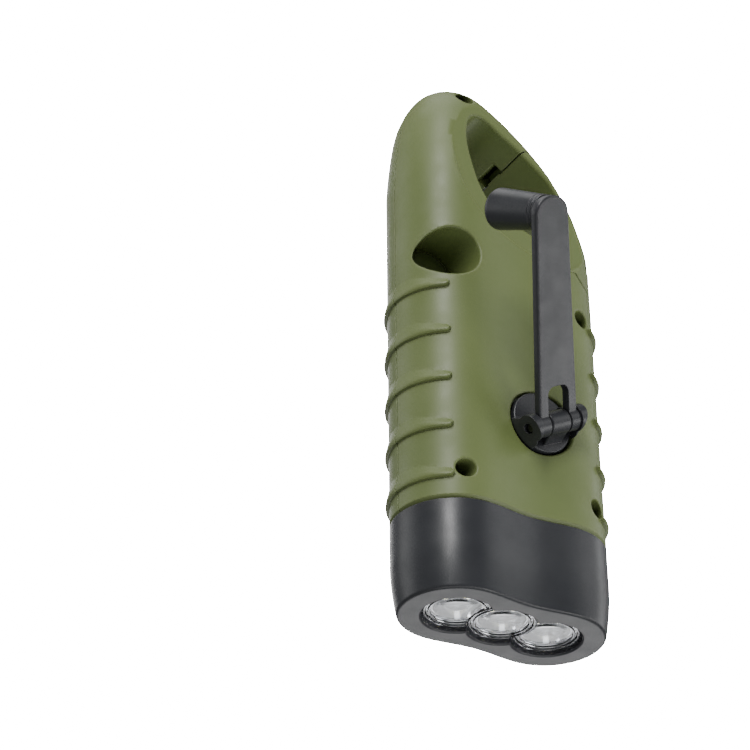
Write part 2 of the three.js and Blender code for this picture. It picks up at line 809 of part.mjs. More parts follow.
function headCap() {
  const outer = new THREE.ExtrudeGeometry(sectionShape(0), {
    depth: headLength,
    bevelEnabled: true,
    bevelThickness: headEndRound,
    bevelSize: headEndInset,
    bevelOffset: -headEndInset,
    bevelSegments: headEndSteps,
  });
  outer.translate(0, 0, headEndRound);
  const top = headLength - seatGap;
  const limit = bodyHalfWidth + overrun;
  let cap = solidOf(outer).intersect(box(-limit, limit, -limit, limit, 0, top));
  cap = cap.add(alongZ(sectionShape(wall + seatGap), top - wall, top + collarHeight));
  const hollow = joined(
    alongZ(sectionShape(wall + seatGap + collarWall), headFloor, top + collarHeight + overrun));
  cap = cap.subtract(hollow);
  for (const side of [-1, 1]) {
    const post = rodZ(ledPostRadius, headFloor / 2, ledBoardZ - seatGap, side * ledPostX, 0, smallSteps);
    cap = cap.add(post);
    cap = cap.subtract(rodZ(ledScrewShank + threadGap, ledBoardZ - ledScrewLength, ledBoardZ + overrun,
      side * ledPostX, 0, smallSteps));
  }
  for (const x of lensPlaces) {
    cap = cap.subtract(rodZ(lensRingRadius + seatGap, -overrun, headFloor + overrun / 2, x, 0, wellSteps));
  }
  return cap;
}

const lensPlaces = [-lensPitch, 0, lensPitch];
const reflectorZ = lensBack + seatGap;
const ledBoardZ = reflectorZ + reflectorLength + seatGap;

function lensPlate() {
  const front = lensRecess;
  return joined(...lensPlaces.map((x) => joined(
    rodZ(lensRingRadius, front, lensBack, x, 0, wellSteps),
    turnedZ(lensCurveShares.map(([across, rise]) => [lensRadius * across, front + lensRise * rise]), x, 0))));
}

function reflector(x) {
  const front = reflectorZ;
  const back = reflectorZ + reflectorLength;
  const neck = ledRadius + seatGap;
  const mouth = reflectorRadius - reflectorWall;
  const bowlBack = back - ledSunk;
  return turnedZ([
    [neck, back], [reflectorRadius, back], [reflectorRadius, front],
    ...bowlShares.map(([across, deep]) => [mouth * across, front + (bowlBack - front) * deep]),
    [neck, bowlBack], [neck, back],
  ], x, 0);
}

function led(x) {
  const base = reflectorZ + reflectorLength;
  const tip = base - ledLength;
  return turnedZ([
    [0, base], [ledRadius, base],
    ...ledTipShares.map(([across, up]) => [ledRadius * across, tip + ledRadius * up]),
  ], x, 0, smallSteps);
}

function ledBoard() {
  let board = alongZ(sectionShape(ledBoardInset), ledBoardZ, ledBoardZ + ledBoardThick);
  for (const side of [-1, 1]) {
    board = board.subtract(rodZ(ledScrewShank + runGap, 0, headLength, side * ledPostX, 0, smallSteps));
  }
  return board;
}

function ledScrew(side) {
  const seat = ledBoardZ + ledBoardThick + seatGap;
  const x = side * ledPostX;
  return joined(
    rodZ(ledScrewHead, seat, seat + ledScrewHeadHeight, x, 0, smallSteps),
    rodZ(ledScrewShank, ledBoardZ - ledScrewLength + seatGap, seat, x, 0, smallSteps));
}

const leadBoardY = boardBackY - boardThick / 2;

function lampLead(side) {
  const from = ledBoardZ + ledBoardThick + seatGap;
  const to = boardBottom - seatGap;
  return rodZ(leadRadius, from, to, side * leadX, leadBoardY, smallSteps / 2);
}

// Solar frame and cell

function solarFrame() {
  const limit = edgeDepth + overrun;
  const ledge = roundedRect(frameLeft + ridgeWidth, frameRight - ridgeWidth,
    frameBottom + ridgeWidth, windowTop + ridgeWidth, windowRound);
  const pocket = roundedRect(windowLeft, windowRight, windowBottom, windowTop, windowRound);
  return alongY(frameShape(0), frameFrontY, frameBackY, smallSteps)
    .subtract(alongY(ledge, -limit, ledgeY, smallSteps / 2))
    .subtract(alongY(pocket, -limit, cellFrontY + cellThick + seatGap, smallSteps / 2))
    .subtract(rodY(leadHoleRadius, -limit, 0, windowLeft + wall, leadHoleZ, smallSteps));
}

function solarCell() {
  const shape = roundedRect(windowLeft + seatGap, windowRight - seatGap,
    windowBottom + seatGap, windowTop - seatGap, windowRound);
  return alongY(shape, cellFrontY, cellFrontY + cellThick, smallSteps / 2);
}

function solarLead() {
  const from = cellFrontY + cellThick + seatGap;
  const to = boardBackY - boardThick - seatGap;
  return rodY(leadRadius, from, to, windowLeft + wall, leadHoleZ, smallSteps / 2);
}

// Crank: hub, arm, knob and pins. These are drawn about the crank axis,
// with the stored arm along +Z, and turned into place by their groups.

function crankHub() {
  const dish = rodY(hubRadius, hubBottomY, hubFaceY, 0, 0, wellSteps);
  const lugProfile = polygon([
    [hubFaceY - runGap, -pinBelowHub - lugFoot],
    [pinY, -pinBelowHub - lugTopRadius],
    [pinY, -pinBelowHub + lugTopRadius],
    [hubFaceY - runGap, -pinBelowHub + lugFoot],
  ]);
  const lug = joined(
    alongX(lugProfile, -lugWidth / 2, lugWidth / 2),
    rodX(lugTopRadius, -lugWidth / 2, lugWidth / 2, pinY, -pinBelowHub));
  const cheekProfile = polygon([
    [hubFaceY - runGap, -pinBelowHub - cheekFoot],
    [pinY, -pinBelowHub - cheekRadius],
    [pinY, -pinBelowHub + cheekRadius],
    [hubFaceY - runGap, -pinBelowHub + cheekFoot],
  ]);
  const cheeks = joined(
    alongX(cheekProfile, -hubRadius, hubRadius),
    rodX(cheekRadius, -hubRadius, hubRadius, pinY, -pinBelowHub));
  const between = box(-cheekStart, cheekStart, hubFaceY, pinY + overrun, -hubRadius, hubRadius);
  const rim = rodY(hubRadius, hubBottomY, pinY + overrun, 0, 0, wellSteps);
  return joined(dish, cheeks.subtract(between).intersect(rim), lug)
    .subtract(rodX(hingePinRadius + seatGap / 2, -hubRadius, hubRadius, pinY, -pinBelowHub, smallSteps))
    .subtract(rodY(shaftRadius + seatGap, 0, hubFaceY - seatGap, 0, 0, roundSteps));
}

function hingePin() {
  const half = Math.sqrt(hubRadius * hubRadius - pinBelowHub * pinBelowHub) - seatGap * 2;
  return rodX(hingePinRadius, -half, half, 0, 0, smallSteps);
}

function armOutline(inset) {
  const root = armRootHalf - inset;
  const tip = armTipHalf - inset;
  const shape = new THREE.Shape();
  shape.moveTo(-root, inset);
  shape.lineTo(root, inset);
  shape.lineTo(tip, armReach);
  shape.absarc(0, armReach, tip, 0, Math.PI);
  shape.lineTo(-root, inset);
  return shape;
}

function armWindow(half, reach) {
  const shape = new THREE.Shape();
  shape.moveTo(-half, -knuckleRadius - overrun);
  shape.lineTo(half, -knuckleRadius - overrun);
  shape.lineTo(half, reach - half);
  shape.absarc(0, reach - half, half, 0, Math.PI);
  return shape;
}

function crankArm() {
  const half = armThick / 2;
  const panel = armOutline(armPanelInset);
  const panelFrom = box(-armRootHalf, armRootHalf, -overrun, overrun,
    armWindowReach + armPanelInset, armReach + armRootHalf);
  return joined(
    alongY(armOutline(0), -half, half, smallSteps),
    rodX(knuckleRadius, -armRootHalf, armRootHalf, 0, 0))
    .subtract(alongY(armWindow(armWindowHalf, armWindowReach), -overrun, overrun, smallSteps))
    .subtract(alongY(panel, half - armPanelDepth, half + overrun, smallSteps).intersect(panelFrom))
    .subtract(rodX(hingePinRadius + runGap / 2, -overrun * 2, overrun * 2, 0, 0, smallSteps))
    .subtract(rodY(knobScrewRadius + threadGap, -overrun, knobScrewBite - half, 0, armReach, smallSteps));
}

function knob() {
  const top = -armThick / 2 - runGap;
  const bore = knobScrewRadius + runGap;
  const recess = knobScrewHead + runGap;
  const seat = knobSink - knobDrop;
  return turnedY([
    [bore, seat], [recess, seat], [recess, -knobDrop], [knobEndRadius - knobEndRound, -knobDrop],
    [knobEndRadius, knobEndRound - knobDrop], [knobRootRadius, top], [bore, top], [bore, seat],
  ], 0, armReach);
}

function knobScrew() {
  const seat = knobSink - knobDrop - runGap;
  return joined(
    rodY(knobScrewRadius, seat, knobScrewBite - armThick / 2 - seatGap, 0, armReach, smallSteps),
    rodY(knobScrewHead, seat - knobScrewHeadHeight, seat, 0, armReach, smallSteps));
}

// Gear train

function gearShape(teeth, phase) {
  const pitchRadius = (teeth * toothSize) / 2;
  const tip = pitchRadius + toothSize * toothRiseShare;
  const root = pitchRadius - toothSize * toothRootShare;
  const step = (2 * Math.PI) / teeth;
  const points = [];
  const radii = [root, tip, tip, root];
  for (let i = 0; i < teeth; i += 1) {
    toothWidthShares.forEach((share, corner) => {
      const angle = (i + share) * step + phase;
      points.push([radii[corner] * Math.cos(angle), radii[corner] * Math.sin(angle)]);
    });
  }
  return polygon(points);
}

function gearBlank(teeth, phase, y0, y1, x, z) {
  return alongY(gearShape(teeth, phase), y0, y1).translate([x, 0, z]);
}

// A tooth of the driven wheel faces a gap of its driver along the line between their axes
const crankPhase = idlerAngle * degrees;
const idlerPinionPhase = idlerAngle * degrees + Math.PI + Math.PI / pinionTeeth;
const idlerGearPhase = rotorAngle * degrees;
const rotorPinionPhase = rotorAngle * degrees + Math.PI + Math.PI / pinionTeeth;

function crankGear() {
  const top = crankGearBottomY + crankGearThick;
  return gearBlank(crankTeeth, crankPhase, crankGearBottomY, top, crankX, crankZ)
    .subtract(rodY(shaftRadius + seatGap, 0, bodyHalfWidth, crankX, crankZ));
}

function idlerGear() {
  const gearTop = idlerGearBottomY + idlerGearThick;
  const pinionTop = crankGearBottomY + crankGearThick + pinionExtra;
  return joined(
    gearBlank(idlerTeeth, idlerGearPhase, idlerGearBottomY, gearTop, idlerX, idlerZ),
    gearBlank(pinionTeeth, idlerPinionPhase, idlerGearBottomY, pinionTop, idlerX, idlerZ))
    .subtract(rodY(idlerBore, 0, bodyHalfWidth, idlerX, idlerZ, smallSteps));
}

function rotorPinion() {
  const bottom = idlerGearBottomY - pinionExtra / 2;
  return gearBlank(pinionTeeth, rotorPinionPhase, bottom, bottom + rotorPinionThick, rotorX, rotorZ)
    .subtract(rodY(rotorAxleRadius + seatGap, 0, bodyHalfWidth, rotorX, rotorZ, smallSteps));
}

function crankShaft() {
  return rodY(shaftRadius, shaftEndY, hubFaceY - 2 * seatGap, crankX, crankZ);
}

function crankBush() {
  const top = hubBottomY - 2 * seatGap;
  const inner = shaftRadius + runGap;
  return turnedY([
    [inner, top - bushLength], [bushRadius, top - bushLength], [bushRadius, top],
    [inner, top], [inner, top - bushLength],
  ], crankX, crankZ);
}

function idlerAxle() {
  return rodY(idlerAxleRadius, -plateHalf, idlerBossBottomY + axleSink - seatGap, idlerX, idlerZ, smallSteps);
}

const canTopY = -plateHalf - seatGap;
const canBottomY = canTopY - canDepth;

function rotorAxle() {
  return rodY(rotorAxleRadius, canBottomY + seatGap, rotorBossBottomY + 2 * axleSink - seatGap,
    rotorX, rotorZ, smallSteps);
}

function gearPlate() {
  const corners = [
    [crankX, crankZ], [idlerX, idlerZ], ...standoffPlaces,
  ].map(([x, z]) => rodY(standoffRadius + plateMargin / 2, -plateHalf, plateHalf, x, z));
  const [low, left, high] = standoffPlaces;
  const rim = polygon([low, high, left, [crankX - plateMargin, crankZ]]);
  let plate = joined(
    alongY(rim, -plateHalf, plateHalf),
    rodY(canRadius + canWall, -plateHalf, plateHalf, rotorX, rotorZ, wellSteps),
    ...corners);
  const cup = rodY(knobWellRadius + knobWellWall + runGap, -plateHalf - overrun, plateHalf + overrun,
    knobWellX, knobWellZ);
  plate = plate.subtract(cup);
  plate = plate.subtract(rodY(shaftRadius + runGap, -overrun, overrun, crankX, crankZ));
  plate = plate.subtract(rodY(idlerAxleRadius + seatGap / 2, -overrun, overrun, idlerX, idlerZ, smallSteps));
  plate = plate.subtract(rodY(rotorAxleRadius + runGap, -overrun, overrun, rotorX, rotorZ, smallSteps));
  for (const [x, z] of standoffPlaces) {
    plate = plate.subtract(rodY(plateScrewShank + seatGap, -overrun, overrun, x, z, smallSteps));
  }
  return plate;
}

function plateScrew([x, z]) {
  const seat = -plateHalf - seatGap;
  return joined(
    rodY(plateScrewHead, seat - plateScrewHeadHeight, seat, x, z, smallSteps),
    rodY(plateScrewShank, seat, plateHalf + plateScrewLength, x, z, smallSteps));
}

// Generator

function statorCan() {
  const floorY = canBottomY + canWall;
  const bore = rotorAxleRadius + runGap;
  return turnedY([
    [bore, canBottomY], [canRadius, canBottomY], [canRadius, canTopY], [canRadius - canWall, canTopY],
    [canRadius - canWall, floorY], [bore, floorY], [bore, canBottomY],
  ], rotorX, rotorZ, wellSteps);
}

function coil() {
  const bottom = canBottomY + canWall + seatGap;
  return turnedY([
    [coilInner, bottom], [coilRadius, bottom], [coilRadius, bottom + coilHeight],
    [coilInner, bottom + coilHeight], [coilInner, bottom],
  ], rotorX, rotorZ, wellSteps);
}

function magnet() {
  const bottom = canBottomY + canWall + runGap;
  const bore = rotorAxleRadius + seatGap;
  return turnedY([
    [bore, bottom], [magnetRadius, bottom], [magnetRadius, bottom + magnetHeight],
    [bore, bottom + magnetHeight], [bore, bottom],
  ], rotorX, rotorZ);
}

// Electronics

function mainBoard() {
  const front = boardBackY - boardThick;
  return alongY(roundedRect(boardLeft, boardRight, boardBottom, boardTop, boardPostRadius), front, boardBackY,
    smallSteps / 2);
}

function battery() {
  const front = boardBackY + seatGap;
  return rodY(batteryRadius, front, front + batteryThick, batteryX, batteryZ);
}

function controlChip() {
  const front = boardBackY + seatGap;
  const left = chipX - chipHalf;
  const bottom = chipZ - chipHalf;
  return box(left, left + 2 * chipHalf, front, front + chipThick, bottom, bottom + 2 * chipHalf);
}

function capacitor() {
  const front = boardBackY + seatGap;
  return rodY(capacitorRadius, front, front + capacitorHeight, capacitorX, capacitorZ, smallSteps);
}

function pushSwitch() {
  const front = boardBackY + seatGap;
  return joined(
    box(switchFrontX, switchBackX, front, switchTopY, buttonZ - switchHalf, buttonZ + switchHalf),
    rodX(switchHalf / 2, switchFrontX - switchPlunger, switchFrontX + switchPlunger, 0, buttonZ, smallSteps));
}

function powerButton() {
  return joined(
    buttonOpening(0)(-bodyHalfWidth - buttonProud, buttonSeatX + buttonFlangeThick / 2),
    buttonOpening(buttonFlange)(buttonSeatX, buttonSeatX + buttonFlangeThick));
}

function caseScrew([x, z]) {
  const seat = screwSeatY + seatGap;
  return joined(
    rodY(screwHeadRadius, seat, seat + screwHeadHeight, x, z, smallSteps),
    rodY(screwShankRadius, screwTipY, seat, x, z, smallSteps));
}

// Assembly

const flashlight = new THREE.Group();

function addPiece(parent, name, solid, material) {
  parent.add(meshOf(name, solid, material));
}

addPiece(flashlight, 'front_shell', frontShell(), olive);
addPiece(flashlight, 'back_shell', backShell(), olive);
addPiece(flashlight, 'carabiner_gate', gate(), olive);
addPiece(flashlight, 'gate_pin', gatePin(), steel);
addPiece(flashlight, 'gate_spring', gateSpring(), steel);

addPiece(flashlight, 'head_cap', headCap(), slate);
addPiece(flashlight, 'lens_plate', lensPlate(), clear);
lensPlaces.forEach((x, i) => {
  addPiece(flashlight, `reflector_${i + 1}`, reflector(x), chrome);
  addPiece(flashlight, `led_${i + 1}`, led(x), ledResin);
});
addPiece(flashlight, 'led_board', ledBoard(), boardGreen);
[-1, 1].forEach((side, i) => {
  addPiece(flashlight, `led_board_screw_${i + 1}`, ledScrew(side), steel);
  addPiece(flashlight, `lamp_lead_${i + 1}`, lampLead(side), black);
});

addPiece(flashlight, 'solar_frame', solarFrame(), slate);
addPiece(flashlight, 'solar_cell', solarCell(), copperCell);
addPiece(flashlight, 'solar_lead', solarLead(), black);

addPiece(flashlight, 'crank_shaft', crankShaft(), steel);
addPiece(flashlight, 'crank_bush', crankBush(), brass);
addPiece(flashlight, 'crank_gear', crankGear(), whitePlastic);
addPiece(flashlight, 'idler_gear', idlerGear(), whitePlastic);
addPiece(flashlight, 'idler_axle', idlerAxle(), steel);
addPiece(flashlight, 'rotor_pinion', rotorPinion(), brass);
addPiece(flashlight, 'rotor_axle', rotorAxle(), steel);
addPiece(flashlight, 'rotor_magnet', magnet(), black);
addPiece(flashlight, 'generator_coil', coil(), copperWire);
addPiece(flashlight, 'generator_can', statorCan(), steel);
addPiece(flashlight, 'gear_plate', gearPlate(), steel);
standoffPlaces.forEach((place, i) => {
  addPiece(flashlight, `plate_screw_${i + 1}`, plateScrew(place), steel);
});

addPiece(flashlight, 'main_board', mainBoard(), boardGreen);
addPiece(flashlight, 'battery', battery(), steel);
addPiece(flashlight, 'control_chip', controlChip(), black);
addPiece(flashlight, 'capacitor', capacitor(), black);
addPiece(flashlight, 'push_switch', pushSwitch(), black);
addPiece(flashlight, 'power_button', powerButton(), black);
screwPlaces.forEach((place, i) => {
  addPiece(flashlight, `case_screw_${i + 1}`, caseScrew(place), steel);
});

const crank = new THREE.Group();
crank.position.set(crankX, 0, crankZ);
crank.rotation.y = crankTurn * degrees;
flashlight.add(crank);
addPiece(crank, 'crank_hub', crankHub(), slate);

const fold = new THREE.Group();
fold.position.set(0, pinY, -pinBelowHub);
fold.rotation.x = -armLift * degrees;
crank.add(fold);
addPiece(fold, 'crank_arm', crankArm(), slate);
addPiece(fold, 'hinge_pin', hingePin(), steel);
addPiece(fold, 'crank_knob', knob(), slate);
addPiece(fold, 'knob_screw', knobScrew(), steel);

// The origin is under the middle of the whole
const model = new THREE.Group();
model.add(flashlight);
model.updateMatrixWorld(true);
const extent = new THREE.Box3().setFromObject(flashlight, true);
const middle = extent.getCenter(new THREE.Vector3());
flashlight.position.set(-middle.x, -middle.y, -extent.min.z);
model.updateMatrixWorld(true);

export default model;
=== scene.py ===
# %% [markdown]
# # A hand crank flashlight
# The real thing is an olive torch as long as a hand. Three lamps look out of its dark foot,
# a solar cell is let into one face, a crank folds out of the other, and the top is a
# carabiner loop with a gate. It stands on its lamp end here, so +Z runs up to the loop.
# Every shape is drawn in millimetres about the middle of the body, because the sizes can
# then be read off as they would be on a caliper, and is moved into the frame at the end.

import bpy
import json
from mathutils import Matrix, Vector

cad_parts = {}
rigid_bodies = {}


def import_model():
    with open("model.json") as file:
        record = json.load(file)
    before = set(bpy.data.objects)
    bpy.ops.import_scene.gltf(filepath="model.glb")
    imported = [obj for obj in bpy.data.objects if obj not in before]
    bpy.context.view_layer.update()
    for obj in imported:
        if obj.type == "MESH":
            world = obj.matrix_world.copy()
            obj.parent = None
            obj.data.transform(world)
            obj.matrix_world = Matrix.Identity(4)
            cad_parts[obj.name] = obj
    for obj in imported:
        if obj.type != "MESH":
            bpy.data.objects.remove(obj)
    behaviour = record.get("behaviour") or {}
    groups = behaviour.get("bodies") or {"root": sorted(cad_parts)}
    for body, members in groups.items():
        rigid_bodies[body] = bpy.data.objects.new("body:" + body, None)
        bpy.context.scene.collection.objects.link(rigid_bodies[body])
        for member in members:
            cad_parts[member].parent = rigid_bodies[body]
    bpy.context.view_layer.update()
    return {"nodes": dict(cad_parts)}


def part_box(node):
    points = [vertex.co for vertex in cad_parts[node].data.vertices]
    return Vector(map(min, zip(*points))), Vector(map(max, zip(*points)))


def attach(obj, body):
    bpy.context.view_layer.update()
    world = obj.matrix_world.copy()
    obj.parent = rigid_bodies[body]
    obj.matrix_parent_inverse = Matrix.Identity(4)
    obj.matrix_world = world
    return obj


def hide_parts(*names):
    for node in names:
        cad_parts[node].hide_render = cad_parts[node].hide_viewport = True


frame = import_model()

# %% [markdown]
# ## The middle of the body
# All numbers below are millimetres about the middle of the body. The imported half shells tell
# where that middle is: the back shell gives the middle of the width, and both together the
# middle of the depth. One matrix then takes a finished piece into the frame.

# %% Find the middle of the body
import json
import math

import bmesh
import bpy
from mathutils import Matrix, Vector
from mathutils.geometry import interpolate_bezier

MM = 0.001
back_low, back_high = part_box("back_shell")
front_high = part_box("front_shell")[1]
body_middle = Vector(((back_low.x + back_high.x) / 2, (front_high.y + back_low.y) / 2, 0))
to_frame = Matrix.Translation(body_middle) @ Matrix.Scale(MM, 4)
print("body middle in metres:", tuple(round(c, 5) for c in body_middle))

# %% [markdown]
# ## The camera
# The photograph looks at the crank side from below, past the lamps. Its viewpoint was solved
# from the outlines of the body, so the camera gets that place and those directions as they
# are. An aimed camera would need the same numbers and hide them in a rotation.

# %% Camera
photo_focal = 2349.4
photo_width = 750
sensor_width = 36
solved_place = (246.0, 363.3, -225.1)
solved_back = (0.426, 0.718, -0.55)
solved_right = (-0.862, 0.507, -0.005)
camera_place = to_frame @ Vector(solved_place)
sight_back = Vector(solved_back).normalized()
sight_up = sight_back.cross(Vector(solved_right)).normalized()
sight_right = sight_up.cross(sight_back)

camera_data = bpy.data.cameras.new("photo_camera")
camera_data.sensor_width = sensor_width
camera_data.lens = photo_focal * sensor_width / photo_width
camera_data.clip_start = MM
camera = bpy.data.objects.new("photo_camera", camera_data)
turned = Matrix((sight_right, sight_up, sight_back)).transposed().to_4x4()
camera.matrix_world = Matrix.Translation(camera_place) @ turned
bpy.context.scene.collection.objects.link(camera)
bpy.context.scene.camera = camera
print("lens in mm:", round(camera_data.lens, 2))

# %% [markdown]
# ## Background
# The photograph has a white ground and soft light from all round. A plane behind the torch
# would do for one view, but a pale world is right from every side. The camera sees a bright
# world and the torch is lit by a dim one, so that the area lights below shape the form.

# %% World
ground_glow = 40
ground_colour = (1, 1, 1, 1)
room_glow = 0.24
room_colour = (0.94, 0.97, 1, 1)
world = bpy.data.worlds.new("pale_room")
world.use_nodes = True
bpy.context.scene.world = world
world_nodes = world.node_tree.nodes
world_links = world.node_tree.links
seen = world_nodes["Background"]
seen.inputs["Color"].default_value = ground_colour
seen.inputs["Strength"].default_value = ground_glow
lighting = world_nodes.new("ShaderNodeBackground")
lighting.inputs["Color"].default_value = room_colour
lighting.inputs["Strength"].default_value = room_glow
ray = world_nodes.new("ShaderNodeLightPath")
choice = world_nodes.new("ShaderNodeMixShader")
world_links.new(ray.outputs["Is Camera Ray"], choice.inputs["Fac"])
world_links.new(lighting.outputs["Background"], choice.inputs[1])
world_links.new(seen.outputs["Background"], choice.inputs[2])
world_links.new(choice.outputs["Shader"], world_nodes["World Output"].inputs["Surface"])
print("world:", world.name)

# %% [markdown]
# ## Floor
# The torch stands on a pale floor. The photograph is taken from below, and its camera is
# lower than the floor, so the floor's material is see-through from underneath. The floor is
# only there for the camera: it throws no light back, so the looks don't depend on it.

# %% Floor
floor_half = 1.5
floor_drop = 0.3 * MM
floor_glow = 1.1
floor_colour = (0.86, 0.86, 0.85, 1)
floor_glow_colour = (1, 1, 1, 1)
floor_rough = 0.9
floor_mesh = bpy.data.meshes.new("floor")
bm = bmesh.new()
bmesh.ops.create_grid(bm, x_segments=2, y_segments=2, size=floor_half)
bmesh.ops.translate(bm, verts=bm.verts, vec=(0, 0, -floor_drop))
bm.to_mesh(floor_mesh)
bm.free()
floor = bpy.data.objects.new("floor", floor_mesh)
bpy.context.scene.collection.objects.link(floor)
floor.visible_diffuse = False
floor.visible_glossy = False
floor.visible_transmission = False
floor.visible_shadow = False
floor_finish = bpy.data.materials.new("pale_floor")
floor_finish.use_nodes = True
floor_nodes = floor_finish.node_tree.nodes
floor_links = floor_finish.node_tree.links
floor_shader = floor_nodes["Principled BSDF"]
floor_shader.inputs["Base Color"].default_value = floor_colour
floor_shader.inputs["Roughness"].default_value = floor_rough
floor_shader.inputs["Emission Color"].default_value = floor_glow_colour
floor_shader.inputs["Emission Strength"].default_value = floor_glow
below = floor_nodes.new("ShaderNodeNewGeometry")
clear = floor_nodes.new("ShaderNodeBsdfTransparent")
side = floor_nodes.new("ShaderNodeMixShader")
floor_links.new(below.outputs["Backfacing"], side.inputs["Fac"])
floor_links.new(floor_shader.outputs["BSDF"], side.inputs[1])
floor_links.new(clear.outputs["BSDF"], side.inputs[2])
floor_links.new(side.outputs["Shader"], floor_nodes["Material Output"].inputs["Surface"])
floor_mesh.materials.append(floor_finish)
print("floor reaches", floor_half, "m each way")

# %% [markdown]
# ## Lights
# Moulded plastic shows its form by long soft highlights, above all the one down the spine.
# Point lights would give hard dots, so every light is an area light as large as a window.
# A narrow strip draws the spine, and the others open up the rims, the lenses, the gate and
# the solar side.

# %% Lights
aim_height = 68


def softbox(name, azimuth, elevation, distance, width, height, power):
    """A rectangular studio light that looks at the middle of the torch."""
    data = bpy.data.lights.new(name, "AREA")
    data.shape = "RECTANGLE"
    data.size = width
    data.size_y = height
    data.energy = power
    light = bpy.data.objects.new(name, data)
    around, up = math.radians(azimuth), math.radians(elevation)
    aim = to_frame @ Vector((0, 0, aim_height))
    away = Vector((math.cos(around) * math.cos(up), math.sin(around) * math.cos(up), math.sin(up)))
    turn = away.to_track_quat("Z", "Y").to_matrix().to_4x4()
    light.matrix_world = Matrix.Translation(aim + away * distance) @ turn
    bpy.context.scene.collection.objects.link(light)
    return light


# Azimuth from +X towards +Y and elevation in degrees, distance, width and height in metres,
# and power in watts.
studio = {
    "lobe_strip": (50, 33, 0.9, 0.1, 0.6, 6.8),
    "spine_window": (-35, 25, 0.8, 0.4, 0.7, 1.35),
    "crank_window": (135, 22, 0.85, 0.5, 0.4, 1.0),
    "arm_window": (150, -12, 0.8, 0.25, 0.3, 1.1),
    "lamp_fill": (60, -68, 0.7, 0.5, 0.5, 1.1),
    "rim_window": (126, -44, 0.7, 0.25, 0.25, 1.3),
    "lens_window": (-121, -33, 0.8, 0.6, 0.5, 1.7),
    "gate_window": (175, 10, 0.8, 0.3, 0.7, 1.4),
    "solar_window": (-112, 30, 0.8, 0.6, 0.5, 3.0),
    "top_light": (20, 80, 0.9, 0.6, 0.6, 2.0),
}
for light_name, setting in studio.items():
    softbox(light_name, *setting)
print("lights:", len(bpy.data.lights))

# %% [markdown]
# ## Noise and tones
# Every finish here is built from the same few parts: noise on the piece's own coordinates,
# two close tones, an uneven gloss, and a fine grain. Image textures would need a photograph
# of the plastic and a UV map, and noise needs neither.

# %% Noise and tones
pattern_low = 0.3
pattern_high = 0.7


def finish(name):
    """A node material with its shader, ready for more nodes."""
    material = bpy.data.materials.new(name)
    material.use_nodes = True
    tree = material.node_tree
    return material, tree.nodes, tree.links, tree.nodes["Principled BSDF"]


def noise_at(nodes, links, scale, detail=2.0):
    """Noise on the object's own coordinates, so that it stays put when the piece moves."""
    place = nodes.new("ShaderNodeTexCoord")
    noise = nodes.new("ShaderNodeTexNoise")
    noise.inputs["Scale"].default_value = scale
    noise.inputs["Detail"].default_value = detail
    links.new(place.outputs["Object"], noise.inputs["Vector"])
    return noise.outputs["Fac"]


def toned(nodes, links, source, dark, pale, low=0.35, high=0.65):
    """Two tones of one colour, mixed by a pattern."""
    ramp = nodes.new("ShaderNodeValToRGB")
    ramp.color_ramp.elements[0].position = low
    ramp.color_ramp.elements[0].color = (*dark, 1)
    ramp.color_ramp.elements[1].position = high
    ramp.color_ramp.elements[1].color = (*pale, 1)
    links.new(source, ramp.inputs["Fac"])
    return ramp.outputs["Color"]


def spread(nodes, links, source, low, high):
    """A pattern turned into values between two limits."""
    span = nodes.new("ShaderNodeMapRange")
    span.inputs["From Min"].default_value = pattern_low
    span.inputs["From Max"].default_value = pattern_high
    span.inputs["To Min"].default_value = low
    span.inputs["To Max"].default_value = high
    links.new(source, span.inputs["Value"])
    return span.outputs["Result"]


print("patterns are read between", pattern_low, "and", pattern_high)

# %% [markdown]
# ## Grain on rounded edges
# Spark-eroded moulds leave a very fine grain on plastic. It is far too fine for geometry, so
# a Bump node raises it in the light only. The Bevel node rounds the light on every small
# edge first, which costs nothing in faces.

# %% Grain on rounded edges
edge_round = 0.26 * MM
edge_samples = 4


def grained(nodes, links, shader, scale, height, rounding=edge_round):
    """Fine grain over edges that are rounded in the light."""
    rounded = nodes.new("ShaderNodeBevel")
    rounded.samples = edge_samples
    rounded.inputs["Radius"].default_value = rounding
    bump = nodes.new("ShaderNodeBump")
    bump.inputs["Strength"].default_value = 1
    bump.inputs["Distance"].default_value = height
    links.new(noise_at(nodes, links, scale), bump.inputs["Height"])
    links.new(rounded.outputs["Normal"], bump.inputs["Normal"])
    links.new(bump.outputs["Normal"], shader.inputs["Normal"])
    return rounded


print("edges rounded in the light by", round(edge_round / MM, 2), "mm")

# %% [markdown]
# ## Painted edge highlights and painted recess shade
# Light catches the small edges of a moulded body and leaves its holes and creases in shade,
# and both are painted into the colour: a painted highlight on the edges and painted shade in
# the recesses. The edges are found by comparing the rounded light with the true face, and the
# recesses by Ambient Occlusion that looks only at the piece itself. Both are worked out on the
# surface and not from a view, so they stay put when the torch or the camera moves.

# %% Painted edge highlights and painted recess shade
# Painted highlight on edges: where the rounded and the true normals part, and how far the edge tone is
# mixed in at most.
edge_meeting = 0.7
edge_highlight_most = 0.6
# Painted shade in recesses: how far the occlusion looks, how dark the painted shade goes, and over which
# range.
recess_reach = 4 * MM
recess_samples = 8
recess_shade_darkest = 0.12
recess_closed = 0.1
recess_open = 0.75


